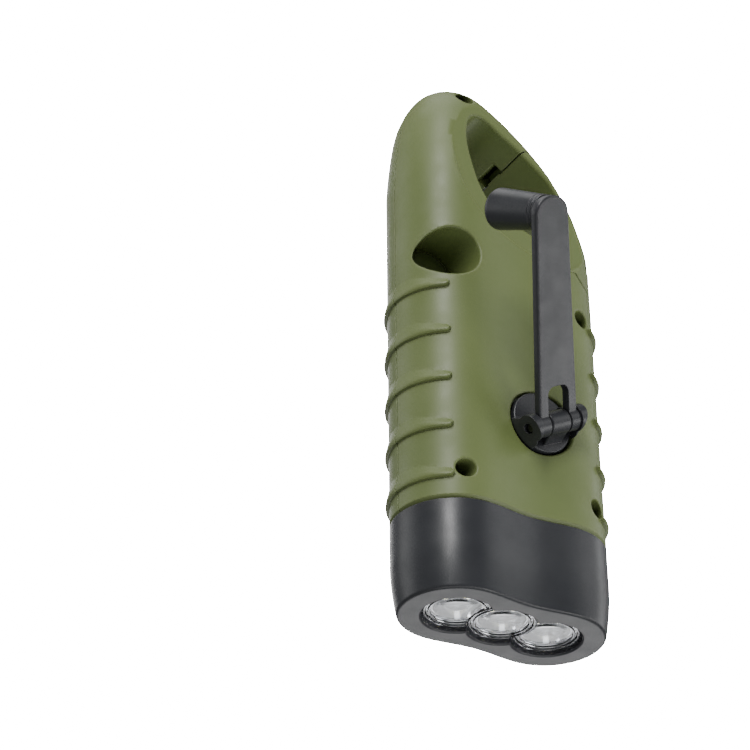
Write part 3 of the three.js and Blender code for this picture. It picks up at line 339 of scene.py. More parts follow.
def painted_edge_highlight(nodes, links, rounded, colour, pale):
    """Paints a highlight on edges: lightens a colour where the rounded light and the true face part."""
    true_face = nodes.new("ShaderNodeNewGeometry")
    meeting = nodes.new("ShaderNodeVectorMath")
    meeting.operation = "DOT_PRODUCT"
    links.new(rounded.outputs["Normal"], meeting.inputs[0])
    links.new(true_face.outputs["Normal"], meeting.inputs[1])
    # How much painted highlight an edge gets, from how far the two normals part.
    edge = nodes.new("ShaderNodeMapRange")
    edge.inputs["From Min"].default_value = 1
    edge.inputs["From Max"].default_value = edge_meeting
    edge.inputs["To Max"].default_value = edge_highlight_most
    links.new(meeting.outputs["Value"], edge.inputs["Value"])
    mixed = nodes.new("ShaderNodeMix")
    mixed.data_type = "RGBA"
    mixed.inputs["B"].default_value = (*pale, 1)
    links.new(edge.outputs["Result"], mixed.inputs["Factor"])
    links.new(colour, mixed.inputs["A"])
    return mixed.outputs["Result"]


def painted_recess_shade(nodes, links, colour):
    """Paints shade into a colour: darkens it in the piece's own holes and creases, where shade falls."""
    shade = nodes.new("ShaderNodeAmbientOcclusion")
    shade.only_local = True
    shade.samples = recess_samples
    shade.inputs["Distance"].default_value = recess_reach
    depth = nodes.new("ShaderNodeMapRange")
    depth.inputs["From Min"].default_value = recess_closed
    depth.inputs["From Max"].default_value = recess_open
    depth.inputs["To Min"].default_value = recess_shade_darkest
    links.new(shade.outputs["AO"], depth.inputs["Value"])
    shaded_colour = nodes.new("ShaderNodeMix")
    shaded_colour.data_type = "RGBA"
    shaded_colour.inputs["A"].default_value = (0, 0, 0, 1)
    links.new(depth.outputs["Result"], shaded_colour.inputs["Factor"])
    links.new(colour, shaded_colour.inputs["B"])
    return shaded_colour.outputs["Result"]


print("recesses darken within", round(recess_reach / MM, 1), "mm")

# %% [markdown]
# ## Plastics and metals
# The body is moulded, satin olive plastic with a fine spark-eroded grain. The foot, the
# crank and the solar frame are the same kind of plastic in charcoal, so one helper makes all
# the plastics, and a second one the bare metals. Each finish is then one line of colours.

# %% Plastics and metals
tone_scale = 45
tone_detail = 4
gloss_scale = 160
grain_scale = 5200
metal_scale = 900
metal_grain = 4
metal_grain_height = 0.004 * MM


def moulded_plastic(name, dark, pale, edge, rough, grain_height):
    """Satin moulded plastic: two close tones, painted edge highlights and recess shade, uneven gloss and
    fine grain.
    """
    material, nodes, links, shader = finish(name)
    colour = toned(nodes, links, noise_at(nodes, links, tone_scale, tone_detail), dark, pale)
    rounded = grained(nodes, links, shader, grain_scale, grain_height)
    # A painted highlight on the edges, then painted shade in the holes and creases.
    highlighted_colour = painted_edge_highlight(nodes, links, rounded, colour, edge)
    # The colour with painted shade in its recesses becomes the base colour.
    links.new(painted_recess_shade(nodes, links, highlighted_colour), shader.inputs["Base Color"])
    gloss = spread(nodes, links, noise_at(nodes, links, gloss_scale), *rough)
    links.new(gloss, shader.inputs["Roughness"])
    return material


def bright_metal(name, dark, pale, rough, scale=metal_scale):
    """Bare metal with a faintly uneven polish."""
    material, nodes, links, shader = finish(name)
    shader.inputs["Metallic"].default_value = 1
    links.new(toned(nodes, links, noise_at(nodes, links, scale), dark, pale), shader.inputs["Base Color"])
    links.new(spread(nodes, links, noise_at(nodes, links, scale), *rough), shader.inputs["Roughness"])
    grained(nodes, links, shader, scale * metal_grain, metal_grain_height)
    return material


# Dark tone, pale tone, painted edge highlight tone, gloss limits and grain height for plastics;
# dark tone, pale tone, gloss limits and pattern scale for metals.
olive_plastic = moulded_plastic("olive_plastic", (0.130, 0.166, 0.051), (0.144, 0.181, 0.058),
                                (0.34, 0.39, 0.20), (0.42, 0.52), 0.012 * MM)
charcoal_plastic = moulded_plastic("charcoal_plastic", (0.020, 0.021, 0.025), (0.026, 0.027, 0.031),
                                   (0.11, 0.11, 0.12), (0.33, 0.42), 0.010 * MM)
black_plastic = moulded_plastic("black_plastic", (0.012, 0.012, 0.013), (0.018, 0.018, 0.019),
                                (0.05, 0.05, 0.05), (0.35, 0.5), 0.008 * MM)
white_plastic = moulded_plastic("white_plastic", (0.72, 0.70, 0.65), (0.78, 0.76, 0.71),
                                (0.85, 0.84, 0.8), (0.35, 0.5), 0.006 * MM)
steel = bright_metal("steel", (0.52, 0.53, 0.54), (0.62, 0.63, 0.64), (0.22, 0.36))
dark_steel = bright_metal("dark_steel", (0.05, 0.05, 0.052), (0.08, 0.08, 0.083), (0.3, 0.45))
brass = bright_metal("brass", (0.55, 0.38, 0.14), (0.66, 0.47, 0.19), (0.25, 0.4))
copper_wire = bright_metal("copper_wire", (0.50, 0.20, 0.09), (0.64, 0.28, 0.13), (0.3, 0.45))
chrome = bright_metal("chrome", (0.86, 0.87, 0.88), (0.92, 0.93, 0.94), (0.04, 0.10), 300)
print("finishes so far:", len(bpy.data.materials))

# %% [markdown]
# ## Clear lens
# The lens plate is clear polycarbonate. Full transmission with a low roughness makes it, but
# refraction blocks the area lights behind it, and the bowls would stay dark. For shadow rays
# it is plainly transparent instead, so that the light reaches the chrome as in a real lamp.

# %% Clear lens
lens_colour = (0.97, 0.98, 1, 1)
lens_ior = 1.49
lens_scale = 700
lens_gloss = (0.01, 0.05)
clear_lens, nodes, links, shader = finish("clear_lens")
shader.inputs["Base Color"].default_value = lens_colour
shader.inputs["Transmission Weight"].default_value = 1
shader.inputs["IOR"].default_value = lens_ior
links.new(spread(nodes, links, noise_at(nodes, links, lens_scale), *lens_gloss), shader.inputs["Roughness"])
through = nodes.new("ShaderNodeBsdfTransparent")
lit = nodes.new("ShaderNodeMixShader")
links.new(nodes.new("ShaderNodeLightPath").outputs["Is Shadow Ray"], lit.inputs["Fac"])
links.new(shader.outputs["BSDF"], lit.inputs[1])
links.new(through.outputs["BSDF"], lit.inputs[2])
links.new(lit.outputs["Shader"], nodes["Material Output"].inputs["Surface"])
print("clear lens with nodes:", len(nodes))

# %% [markdown]
# ## Lamp resin
# Each lamp is a dome of clear, slightly yellow resin. A weak glow of its own keeps it bright
# in its bowl, because the real one gathers light that no small render would find.

# %% Lamp resin
lamp_dark = (0.93, 0.88, 0.50)
lamp_pale = (0.97, 0.96, 0.84)
lamp_clear = 0.7
lamp_ior = 1.5
lamp_tone_scale = 260
lamp_gloss_scale = 500
lamp_gloss = (0.04, 0.12)
lamp_light = (1, 0.97, 0.9, 1)
lamp_glow = 2.5
lamp_resin, nodes, links, shader = finish("lamp_resin")
shader.inputs["Transmission Weight"].default_value = lamp_clear
shader.inputs["IOR"].default_value = lamp_ior
lamp_tones = toned(nodes, links, noise_at(nodes, links, lamp_tone_scale), lamp_dark, lamp_pale)
links.new(lamp_tones, shader.inputs["Base Color"])
gloss = spread(nodes, links, noise_at(nodes, links, lamp_gloss_scale), *lamp_gloss)
links.new(gloss, shader.inputs["Roughness"])
shader.inputs["Emission Color"].default_value = lamp_light
shader.inputs["Emission Strength"].default_value = lamp_glow
print("lamp resin glows with", lamp_glow)

# %% [markdown]
# ## Circuit board
# The boards are green lacquer over copper tracks. Noise with a very narrow ramp gives the
# small patches of the two greens, and the same grain as elsewhere raises them a little.

# %% Circuit board
board_dark = (0.012, 0.075, 0.028)
board_pale = (0.02, 0.12, 0.045)
board_ramp = (0.48, 0.52)
board_tone_scale = 900
board_detail = 1
board_gloss_scale = 600
board_gloss = (0.2, 0.4)
board_grain_scale = 1500
board_grain_height = 0.02 * MM
circuit_board, nodes, links, shader = finish("circuit_board")
board_noise = noise_at(nodes, links, board_tone_scale, board_detail)
board_tones = toned(nodes, links, board_noise, board_dark, board_pale, *board_ramp)
links.new(board_tones, shader.inputs["Base Color"])
gloss = spread(nodes, links, noise_at(nodes, links, board_gloss_scale), *board_gloss)
links.new(gloss, shader.inputs["Roughness"])
grained(nodes, links, shader, board_grain_scale, board_grain_height)
print("circuit board with nodes:", len(nodes))

# %% [markdown]
# ## Solar cell
# The cell is copper-brown silicon under a glossy cover, crossed by thin pale conductors.
# The conductors are printed flat on the real cell, so they are a pattern and not geometry:
# the height is divided by their pitch, and the start of each step is pale.

# %% Solar cell finish
conductor_pitch = 4.15 * MM
conductor_share = 0.07
conductor_colour = (0.52, 0.27, 0.16, 1)
silicon_dark = (0.30, 0.125, 0.062)
silicon_pale = (0.36, 0.155, 0.08)
silicon_scale = 120
silicon_detail = 3
silicon_gloss_scale = 300
silicon_gloss = (0.35, 0.5)
cover_rough = 0.06
solar_cell_finish, nodes, links, shader = finish("solar_cell")
shader.inputs["Coat Weight"].default_value = 1
shader.inputs["Coat Roughness"].default_value = cover_rough
place = nodes.new("ShaderNodeTexCoord")
axes = nodes.new("ShaderNodeSeparateXYZ")
links.new(place.outputs["Object"], axes.inputs["Vector"])
step = nodes.new("ShaderNodeMath")
step.operation = "DIVIDE"
step.inputs[1].default_value = conductor_pitch
links.new(axes.outputs["Z"], step.inputs[0])
within = nodes.new("ShaderNodeMath")
within.operation = "FRACT"
links.new(step.outputs["Value"], within.inputs[0])
silicon_noise = noise_at(nodes, links, silicon_scale, silicon_detail)
silicon = toned(nodes, links, silicon_noise, silicon_dark, silicon_pale)
lines = nodes.new("ShaderNodeMath")
lines.operation = "LESS_THAN"
lines.inputs[1].default_value = conductor_share
links.new(within.outputs["Value"], lines.inputs[0])
ruled = nodes.new("ShaderNodeMix")
ruled.data_type = "RGBA"
ruled.inputs["B"].default_value = conductor_colour
links.new(lines.outputs["Value"], ruled.inputs["Factor"])
links.new(silicon, ruled.inputs["A"])
links.new(ruled.outputs["Result"], shader.inputs["Base Color"])
gloss = spread(nodes, links, noise_at(nodes, links, silicon_gloss_scale), *silicon_gloss)
links.new(gloss, shader.inputs["Roughness"])
print("finishes:", [m.name for m in bpy.data.materials])

# %% [markdown]
# ## Solids and cutting
# Holes and wells could be modelled into the faces by hand, but then every change of a size
# would mean modelling again. They are cut with Boolean modifiers instead, because a cutter
# can carry the rounded lip that the real mould has. Every solid is welded and turned
# outwards first, since an open or inside-out solid cuts wrongly.

# %% Solids and cutting
weld = 0.002


def as_object(name, bm):
    """Closes, cleans and turns a bmesh outwards, and puts it in the scene."""
    bmesh.ops.remove_doubles(bm, verts=bm.verts, dist=weld)
    bmesh.ops.holes_fill(bm, edges=bm.edges, sides=0)
    bmesh.ops.recalc_face_normals(bm, faces=bm.faces)
    mesh = bpy.data.meshes.new(name)
    bm.to_mesh(mesh)
    bm.free()
    obj = bpy.data.objects.new(name, mesh)
    bpy.context.scene.collection.objects.link(obj)
    return obj


def settle(obj, modifier):
    """Applies one modifier."""
    with bpy.context.temp_override(object=obj, active_object=obj):
        bpy.ops.object.modifier_apply(modifier=modifier.name)


def carve(target, tool, operation="DIFFERENCE"):
    """Cuts, joins or crosses two solids, and throws the tool away."""
    step = target.modifiers.new("carve", "BOOLEAN")
    step.solver = "MANIFOLD"
    step.operation = operation
    step.object = tool
    settle(target, step)
    bpy.data.objects.remove(tool)
    return target


def join(target, *tools):
    """Adds solids to a solid."""
    for tool in tools:
        carve(target, tool, "UNION")
    return target


def doubled(obj):
    """A second copy of a solid, to cut with it again."""
    twin = obj.copy()
    twin.data = obj.data.copy()
    bpy.context.scene.collection.objects.link(twin)
    return twin


print("points closer than", weld, "mm are welded")

# %% [markdown]
# ## Lofts
# Most pieces are a line of points that is moved along or turned round. `loft` extrudes a
# line from ring to ring and then moves the new points to their places. The extrude operator
# makes the faces, so that no list of faces has to be worked out.


# %% Lofts
def loft(name, rings, closed=True):
    """Extrudes a line of points through a list of rings with as many points each."""
    bm = bmesh.new()
    row = [bm.verts.new(point) for point in rings[0]]
    following = row[1:] + row[:1] if closed else row[1:]
    edges = [bm.edges.new(pair) for pair in zip(row, following)]
    for ring in rings[1:]:
        made = bmesh.ops.extrude_edge_only(bm, edges=edges)["geom"]
        fresh = {item for item in made if isinstance(item, bmesh.types.BMVert)}
        row = [next(e.other_vert(v) for e in v.link_edges if e.other_vert(v) in fresh) for v in row]
        edges = [e for e in made if isinstance(e, bmesh.types.BMEdge) and fresh.issuperset(e.verts)]
        for vert, point in zip(row, ring):
            vert.co = point
    return as_object(name, bm)


print("meshes before the first loft:", len(bpy.data.meshes))

# %% [markdown]
# ## Turned solids
# Pins, bowls, lenses and the knob are round, and a round piece is a profile spun about its
# axis, as on a lathe. The spin is made about Y, because most of the torch's axes lie across
# its faces, and two quarter turns lay the result along Z or X.

# %% Turned solids
quarter = math.pi / 2
along_z = Matrix.Rotation(quarter, 4, "X")
along_x = Matrix.Rotation(-quarter, 4, "Z")


def turned_y(name, profile, x=0, z=0, steps=48):
    """A profile of (radius, y) points, spun about an upright line along Y."""
    bm = bmesh.new()
    row = [bm.verts.new((radius, y, 0)) for radius, y in profile]
    edges = [bm.edges.new(pair) for pair in zip(row, row[1:] + row[:1])]
    bmesh.ops.spin(bm, geom=row + edges, cent=(0, 0, 0), axis=(0, 1, 0), dvec=(0, 0, 0),
                   angle=2 * math.pi, steps=steps, use_merge=True, use_duplicate=False)
    bmesh.ops.translate(bm, verts=bm.verts, vec=(x, 0, z))
    return as_object(name, bm)


def rod_y(radius, start, end, x, z, steps=32):
    """A plain round bar along Y."""
    return turned_y("rod", [(0, start), (radius, start), (radius, end), (0, end)], x, z, steps)


def moved(obj, matrix):
    """Turns or shifts a solid by moving its mesh, so that its object stays at the origin."""
    obj.data.transform(matrix)
    return obj


def turned_z(name, profile, x=0, y=0, steps=48):
    """The same round an axis along Z."""
    return moved(turned_y(name, profile, 0, 0, steps), Matrix.Translation((x, y, 0)) @ along_z)


print("a quarter turn:", round(quarter, 4))

# %% [markdown]
# ## Prisms and outlines
# What isn't round is mostly a flat outline pulled straight, with its rims bevelled if the
# real piece has soft edges. The outlines are put together from arcs.


# %% Prisms and outlines
def prism(name, outline, start, end, bevel=0.0, bevel_steps=3):
    """A flat outline in X and Z, pulled from one Y to another, with rounded rims if asked."""
    bm = bmesh.new()
    face = bm.faces.new([bm.verts.new((x, start, z)) for x, z in outline])
    made = bmesh.ops.extrude_face_region(bm, geom=[face])["geom"]
    far = [item for item in made if isinstance(item, bmesh.types.BMVert)]
    bmesh.ops.translate(bm, verts=far, vec=(0, end - start, 0))
    if bevel:
        rims = [e for e in bm.edges if abs(e.verts[0].co.y - e.verts[1].co.y) < weld]
        bmesh.ops.bevel(bm, geom=rims, offset=bevel, offset_type="OFFSET", segments=bevel_steps,
                        profile=0.5, affect="EDGES", material=-1, clamp_overlap=True)
    return as_object(name, bm)


def arc(centre_x, centre_z, radius, start, end, steps=12):
    """Points on part of a circle, angles in degrees."""
    turns = [math.radians(start + (end - start) * i / steps) for i in range(steps + 1)]
    return [(centre_x + radius * math.cos(t), centre_z + radius * math.sin(t)) for t in turns]


def rounded_box(left, right, bottom, top, radius, steps=6):
    """The outline of a rectangle with round corners."""
    return [*arc(right - radius, top - radius, radius, 0, 90, steps),
            *arc(left + radius, top - radius, radius, 90, 180, steps),
            *arc(left + radius, bottom + radius, radius, 180, 270, steps),
            *arc(right - radius, bottom + radius, radius, 270, 360, steps)]


print("a rounded box has", len(rounded_box(-1, 1, -1, 1, weld)), "points")

# %% [markdown]
# ## Placing a finished piece
# A finished piece goes through the same steps each time: its mesh moves into the frame, is
# smoothed up to an angle, gets its finish, and is tied to the body it moves with, while the
# imported solids it stands for are hidden. Its object stays at the origin, so patterns don't slide.

# %% Placing a finished piece
smooth_limit = math.radians(32)


def place_piece(obj, name, body, material, slot, *nodes):
    """Moves a piece into the frame, smooths it, dresses it, and lets it stand for CAD nodes."""
    obj.name = name
    obj.data.name = name
    moved(obj, to_frame)
    obj.data.shade_smooth()
    obj.data.set_sharp_from_angle(angle=smooth_limit)
    obj.data.materials.clear()
    obj.data.materials.append(material)
    weighted = obj.modifiers.new("even_light", "WEIGHTED_NORMAL")
    weighted.keep_sharp = True
    if nodes:
        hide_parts(*nodes)
    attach(obj, body)
    print(name, "faces:", len(obj.data.polygons))
    return obj


print("edges over", round(math.degrees(smooth_limit)), "degrees stay sharp")

# %% [markdown]
# ## The body's blank
# The body is one smooth form: two round lobes joined by a waist, which narrow at the top into
# the loop. A plain extrusion would give the loop square edges. Instead the outline of the loop
# is lofted: each ring of points is a step further round the rounded edge, from the outline at
# mid depth to the crest, and the last rings lead across the waist. Where the lobe's own circle
# is lower than the rounded edge, the circle wins, so both forms meet without a seam.

# %% Sizes of the body
half_width = 25
lobe_radius = 13.6
lobe_x = half_width - lobe_radius
waist_half_depth = 12.55
overall_length = 137.46
head_length = 20.6
loop_base = 98
loop_rise = overall_length - loop_base
wall = 2
edge_depth = 13.9
edge_top_depth = 12.4
outline_shares = [
    (1, 0), (1, 0.18), (0.985, 0.36), (0.948, 0.567), (0.887, 0.742), (0.76, 0.905),
    (0.586, 0.99), (0.39, 1), (0.175, 0.95), (-0.09, 0.852), (-0.312, 0.748), (-0.527, 0.603),
    (-0.617, 0.514), (-0.728, 0.39), (-0.826, 0.26), (-0.903, 0.125), (-0.96, 0), (-0.99, -0.12),
    (-1, -0.24),
]
crest_shares = [
    (0.49, 0), (0.485, 0.13), (0.48, 0.26), (0.46, 0.4), (0.44, 0.51), (0.41, 0.59),
    (0.36, 0.63), (0.31, 0.65), (0.22, 0.61), (0.09, 0.53), (-0.03, 0.45), (-0.18, 0.36),
    (-0.26, 0.31), (-0.34, 0.23), (-0.4, 0.15), (-0.44, 0.06), (-0.47, -0.04), (-0.48, -0.13),
    (-0.49, -0.24),
]
hole_shares = [
    (-0.46, -0.1), (-0.168, -0.063), (0.08, 0), (0.24, 0.077), (0.36, 0.193), (0.436, 0.337),
    (0.48, 0.467), (0.484, 0.578), (0.448, 0.668), (0.358, 0.700), (0.232, 0.674), (0.138, 0.632),
    (-0.078, 0.553), (-0.222, 0.486), (-0.368, 0.417), (-0.472, 0.337), (-0.544, 0.251),
    (-0.585, 0.137), (-0.575, 0.01), (-0.54, -0.07),
]
print("loop rises", loop_rise, "mm above the body")

# %% [markdown]
# ## Flowing lines
# The loop's lines are given by a few points each, as shares of its width and height, so that
# they can be read against the photograph. Bezier spans join them smoothly, and the line is
# then divided evenly, because even faces take the light better than crowded ones.

# %% Flowing lines
def loop_spot(share):
    """A share of the half width and of the loop's rise, as a point in X and Z."""
    return Vector((share[0] * half_width, 0, loop_base + share[1] * loop_rise))


def flowing(points, closed=False, steps=12):
    """A smooth line through points, made of Bezier spans with a third of the way as handles."""
    count = len(points)
    spans = count if closed else count - 1
    line = []
    for i in range(spans):
        here, after = points[i], points[(i + 1) % count]
        before = points[i - 1] if closed or i else here
        beyond = points[(i + 2) % count] if closed or i + 2 < count else after
        reach = (after - before) / 6
        pull = (beyond - here) / 6
        line += interpolate_bezier(here, here + reach, after - pull, after, steps + 1)[:-1]
    return line if closed else line + [points[-1]]


def evenly(guide, others, gap):
    """Points a fixed gap apart along a guide line, and the matching points of other lines."""
    reach = [0]
    for a, b in zip(guide, guide[1:]):
        reach.append(reach[-1] + (b - a).length)
    count = round(reach[-1] / gap)
    picked = [[] for _ in range(1 + len(others))]
    k = 0
    for i in range(count + 1):
        target = reach[-1] * i / count
        while k + 2 < len(reach) and reach[k + 1] < target:
            k += 1
        share = (target - reach[k]) / (reach[k + 1] - reach[k])
        for found, line in zip(picked, [guide, *others]):
            found.append(line[k].lerp(line[k + 1], share))
    return picked


def eased(value, start, end):
    """Smooth step from 0 at the start to 1 at the end."""
    share = min(max((value - start) / (end - start), 0), 1)
    return share * share * (3 - 2 * share)


print("the loop's top is at", round(max(loop_spot(share).z for share in outline_shares), 2), "mm")

# %% [markdown]
# ## Depth of the section
# Seen from the end, the body is two circles with a waist between them. The waist is a cosine
# curve, because that leaves one lobe and enters the other without a kink.


# %% Depth of the section
def section_depth(x, inset=0.0):
    """How deep the body is at a distance from its middle: circles joined by a soft waist."""
    radius = lobe_radius - inset
    waist = waist_half_depth - inset
    across = abs(x) - lobe_x
    if across <= 0:
        return waist + (radius - waist) * (0.5 - 0.5 * math.cos(math.pi * x / lobe_x))
    return math.sqrt(max(radius * radius - across * across, 0))


print("depth at the middle and at a lobe:", section_depth(0), section_depth(lobe_x))

# %% [markdown]
# ## The blank
# One blank serves for everything: whole it is the skin, drawn in by a wall it is the hollow,
# and drawn in by less it trims pins and slots to the skin. So it is a function of its inset.
# The last rings shrink to a line in the waist, which keeps the faces there even.

# %% The blank
row_gap = 1.25
edge_rows = 12
face_rows = 8
heart_x = -5
heart_top = 97.4
heart_bend = 80


def body_blank(inset=0.0, bottom=head_length):
    """The closed body with its loop and no hole, drawn in all round by an inset."""
    outline = flowing([loop_spot(share) for share in outline_shares])
    crest = flowing([loop_spot(share) for share in crest_shares])
    for line in (outline, crest):
        line.insert(0, Vector((line[0].x, 0, bottom)))
        line.append(Vector((line[-1].x, 0, bottom)))
    outline, crest = evenly(outline, [crest], row_gap)
    count = len(outline)
    below_heart = [i for i in range(count // 2) if outline[i].z <= heart_top]
    heart = [Vector((heart_x * eased(outline[i].z, heart_bend, heart_top), 0, outline[i].z))
             for i in below_heart]

    def ring(turn, share):
        points = []
        for i, (edge, top) in enumerate(zip(outline, crest)):
            inward = top - edge
            reach = inward.length
            spot = edge + inward * ((inset + (reach - inset) * (1 - math.cos(turn))) / reach)
            spot = spot.lerp(heart[min(i, count - 1 - i, len(heart) - 1)], share)
            climb = min(max((edge.z - loop_base) / loop_rise, 0), 1)
            depth = (edge_depth + (edge_top_depth - edge_depth) * climb - inset) * math.sin(turn)
            limit = section_depth(spot.x, inset)
            points.append((spot.x, math.copysign(min(abs(depth), limit), depth), spot.z))
        return points

    rings = [ring(-quarter, 1 - i / face_rows) for i in range(face_rows)]
    rings += [ring(quarter * i / edge_rows, 0) for i in range(-edge_rows, edge_rows + 1)]
    rings += [ring(quarter, (i + 1) / face_rows) for i in range(face_rows)]
    return loft("blank", rings, closed=False)


blank = body_blank()
print("blank faces:", len(blank.data.polygons))

# %% [markdown]
# ## The line of the loop's hole
# The hole and the flat pads round it follow one line, so that line is made first. `grown`
# moves it outwards point by point, which an even scale could not do for a hole that isn't
# round: the rim would be wide at its ends and narrow at its sides.

# %% The line of the loop's hole
hole_gap = 1.0
hole_curve = flowing([loop_spot(share) for share in hole_shares], closed=True)
hole_line = evenly([*hole_curve, hole_curve[0]], [], hole_gap)[0][:-1]


def grown(line, reaches):
    """A closed line moved outwards, point by point, by its own reaches."""
    count = len(line)
    points = []
    for i, (spot, reach) in enumerate(zip(line, reaches)):
        along = line[(i + 1) % count] - line[i - 1]
        outward = Vector((along.z, 0, -along.x)).normalized()
        points.append(spot + outward * reach)
    return points


print("the hole's line has", len(hole_line), "points")

# %% [markdown]
# ## The hole's cutter
# The hole goes right through the loop. Its rim is softly rounded, and on the crank side the
# lower rim slopes in much further, as a scoop for the finger that opens the gate. The rings
# of the lofted cutter widen where the rim is rounded, so that the cut leaves the rounding
# behind, which a bevel after the cut would do only on clean edges.

# %% Hole cutter
pad_half_depth = 11.8
rim_round = 0.9
rim_rows = 7
scoop = 2.4
scoop_top = 102.5
scoop_fade = 7
scoop_left = -13
overrun = 6


def scooped(spot):
    """How much of the scoop a point of the rim has, from 0 to 1."""
    low = 1 - eased(spot.z, scoop_top - scoop_fade, scoop_top)
    return low * eased(spot.x, scoop_left, scoop_left + scoop_fade)


def hole_cutter(extra=0.0, rounded=True):
    """The through hole, its rims flared out to the pads."""
    outer = pad_half_depth
    rings = []

    def ring(y, reaches):
        rings.append([(p.x, y, p.z) for p in grown(hole_line, reaches)])

    deep = outer + overrun
    if not rounded:
        ring(-deep, [extra] * len(hole_line))
        ring(deep, [extra] * len(hole_line))
        return loft("hole", rings)
    ring(-deep, [rim_round] * len(hole_line))
    for i in range(rim_rows + 1):
        share = 1 - i / rim_rows
        flare = rim_round * (1 - math.sqrt(1 - share * share))
        ring(-(outer - rim_round * (1 - share)), [flare] * len(hole_line))
    for i in range(rim_rows + 1):
        share = i / rim_rows
        points = []
        for spot, edge in zip(hole_line, grown(hole_line, [0] * len(hole_line))):
            amount = scooped(spot)
            radius = rim_round + scoop * amount
            points.append((radius, amount, share))
        ys = [outer - r * (1 - share) for r, _, _ in points]
        reach = [r * (1 - math.sqrt(1 - share * share)) - scoop * a for r, a, _ in points]
        rings.append([(p.x, y, p.z) for p, y in zip(grown(hole_line, reach), ys)])
    ring(deep, [rim_round] * len(hole_line))
    return loft("hole", rings)


print("the scoop reaches", scoop, "mm into the rim")

# %% [markdown]
# ## The pads
# Round the hole both faces sink to a flat pad with a soft shoulder, which is what makes the
# loop look like a carabiner and not like a slab with a hole. The pad's cutter widens along a
# smooth step, and its mirror image cuts the other face.

# %% Pads and hole
pad_reach = 4.4
shoulder_reach = 3.2
shoulder_height = 2.2
shoulder_rows = 8
across_faces = Matrix.Scale(-1, 4, (0, 1, 0))


def pad_cutter():
    """One face's sunk pad with its soft shoulder. It is mirrored for the other face."""
    rings = []
    for i in range(shoulder_rows + 1):
        share = i / shoulder_rows
        rise = shoulder_height * eased(share, 0, 1)
        reach = pad_reach + shoulder_reach * share
        points = grown(hole_line, [reach] * len(hole_line))
        rings.append([(p.x, pad_half_depth + rise, p.z) for p in points])
    rings.append([(x, pad_half_depth + overrun, z) for x, _, z in rings[-1]])
    return loft("pad", rings)


def flipped(obj, matrix=across_faces):
    """A mirrored solid, with its faces turned outwards again."""
    moved(obj, matrix)
    obj.data.flip_normals()
    return obj


carve(blank, pad_cutter())
carve(blank, flipped(pad_cutter()))
carve(blank, hole_cutter())
print("blank with its hole:", len(blank.data.polygons))

# %% [markdown]
# ## Grip ribs
# Five ribs wrap each side. On the real torch a rib rises slowly from above, ends in a sharp
# step below, and finishes on each face as a small rounded bead. A spin gives the wedge its
# even sweep, and then its ends are squeezed towards the bead by moving the points. The ribs
# are joined to the blank before it is cut in halves, so they run across the middle line.

# %% Ribs
rib_count = 5
rib_top = 74.2
rib_pitch = 12.1
rib_height = 5.0
rib_bead = 2.5
rib_profile = [(-0.4, 5.0), (0.12, 3.4), (0.3, 2.3), (0.5, 1.5), (0.62, 0.9), (0.66, 0.35),
               (0.62, -0.05), (0.48, -0.35), (-0.4, -0.5)]
rib_end_swell = 0.5
rib_end_x = 18.3
rib_steps = 56
rib_fade = 11.0
rib_foot = -0.5
rib_tip_least = 0.01


def grip_rib(side, height):
    """One rib: a wedge spun round a lobe, squeezed to a bead at both ends."""
    half_turn = math.acos((rib_end_x - lobe_x) / lobe_radius)
    bm = bmesh.new()
    row = [bm.verts.new((lobe_radius + out, 0, up)) for out, up in rib_profile]
    edges = [bm.edges.new(pair) for pair in zip(row, row[1:] + row[:1])]
    bmesh.ops.rotate(bm, verts=row, cent=(0, 0, 0), matrix=Matrix.Rotation(-half_turn, 3, "Z"))
    bmesh.ops.spin(bm, geom=row + edges, cent=(0, 0, 0), axis=(0, 0, 1), dvec=(0, 0, 0),
                   angle=2 * half_turn, steps=rib_steps, use_merge=False, use_duplicate=False)
    for vert in bm.verts:
        left = (half_turn - abs(math.atan2(vert.co.y, vert.co.x))) * lobe_radius
        tall = (rib_bead + (rib_height - rib_bead) * eased(left, 0, rib_fade)) / rib_height
        up = rib_foot + (vert.co.z - rib_foot) * tall
        near_end = min(left / (rib_bead / 2), 1)
        tip = math.sqrt(max(1 - (1 - near_end) ** 2, rib_tip_least))
        middle = rib_foot + rib_bead / 2
        vert.co.z = middle + (up - middle) * tip
        out = math.hypot(vert.co.x, vert.co.y) - lobe_radius
        swell = max(out, 0) * rib_end_swell * (1 - eased(left, 0, rib_fade))
        stretch = (lobe_radius + out + swell) / (lobe_radius + out)
        vert.co.x *= stretch
        vert.co.y *= stretch
    bmesh.ops.translate(bm, verts=bm.verts, vec=(lobe_x, 0, height))
    rib = as_object("rib", bm)
    return rib if side > 0 else moved(rib, Matrix.Rotation(math.pi, 4, "Z"))


for side in (1, -1):
    for i in range(rib_count):
        join(blank, grip_rib(side, rib_top - i * rib_pitch))
print("blank with ribs:", len(blank.data.polygons))

# %% [markdown]
# ## The gate's space
# A carabiner gate closes the loop on the narrow side. The space it takes is a sector about
# its pin, seen along Y, and a little more than that space is later cut from the body, so
# that a gap all round lets the gate swing. A tongue at its tip goes into a pocket in the
# nose and stops it on the outside.

# %% Gate region and tongue
gate_pin_x = -20.9
gate_pin_z = 94.2
gate_hub_radius = 8
gate_tip_radius = 31
gate_gap = 0.4
gate_free_angle = 32
gate_region_angle = 46
tongue_half = 3.2
tongue_length = 2.4
tongue_from = 58
tongue_to = 64.5
pocket_from = 40
pocket_extra = 1.5
deep = 20
far = 60
sector_steps = 40


def gate_spot(radius, angle):
    """A point at a radius and an angle in degrees about the gate pin."""
    turn = math.radians(angle)
    return gate_pin_x + radius * math.cos(turn), gate_pin_z + radius * math.sin(turn)


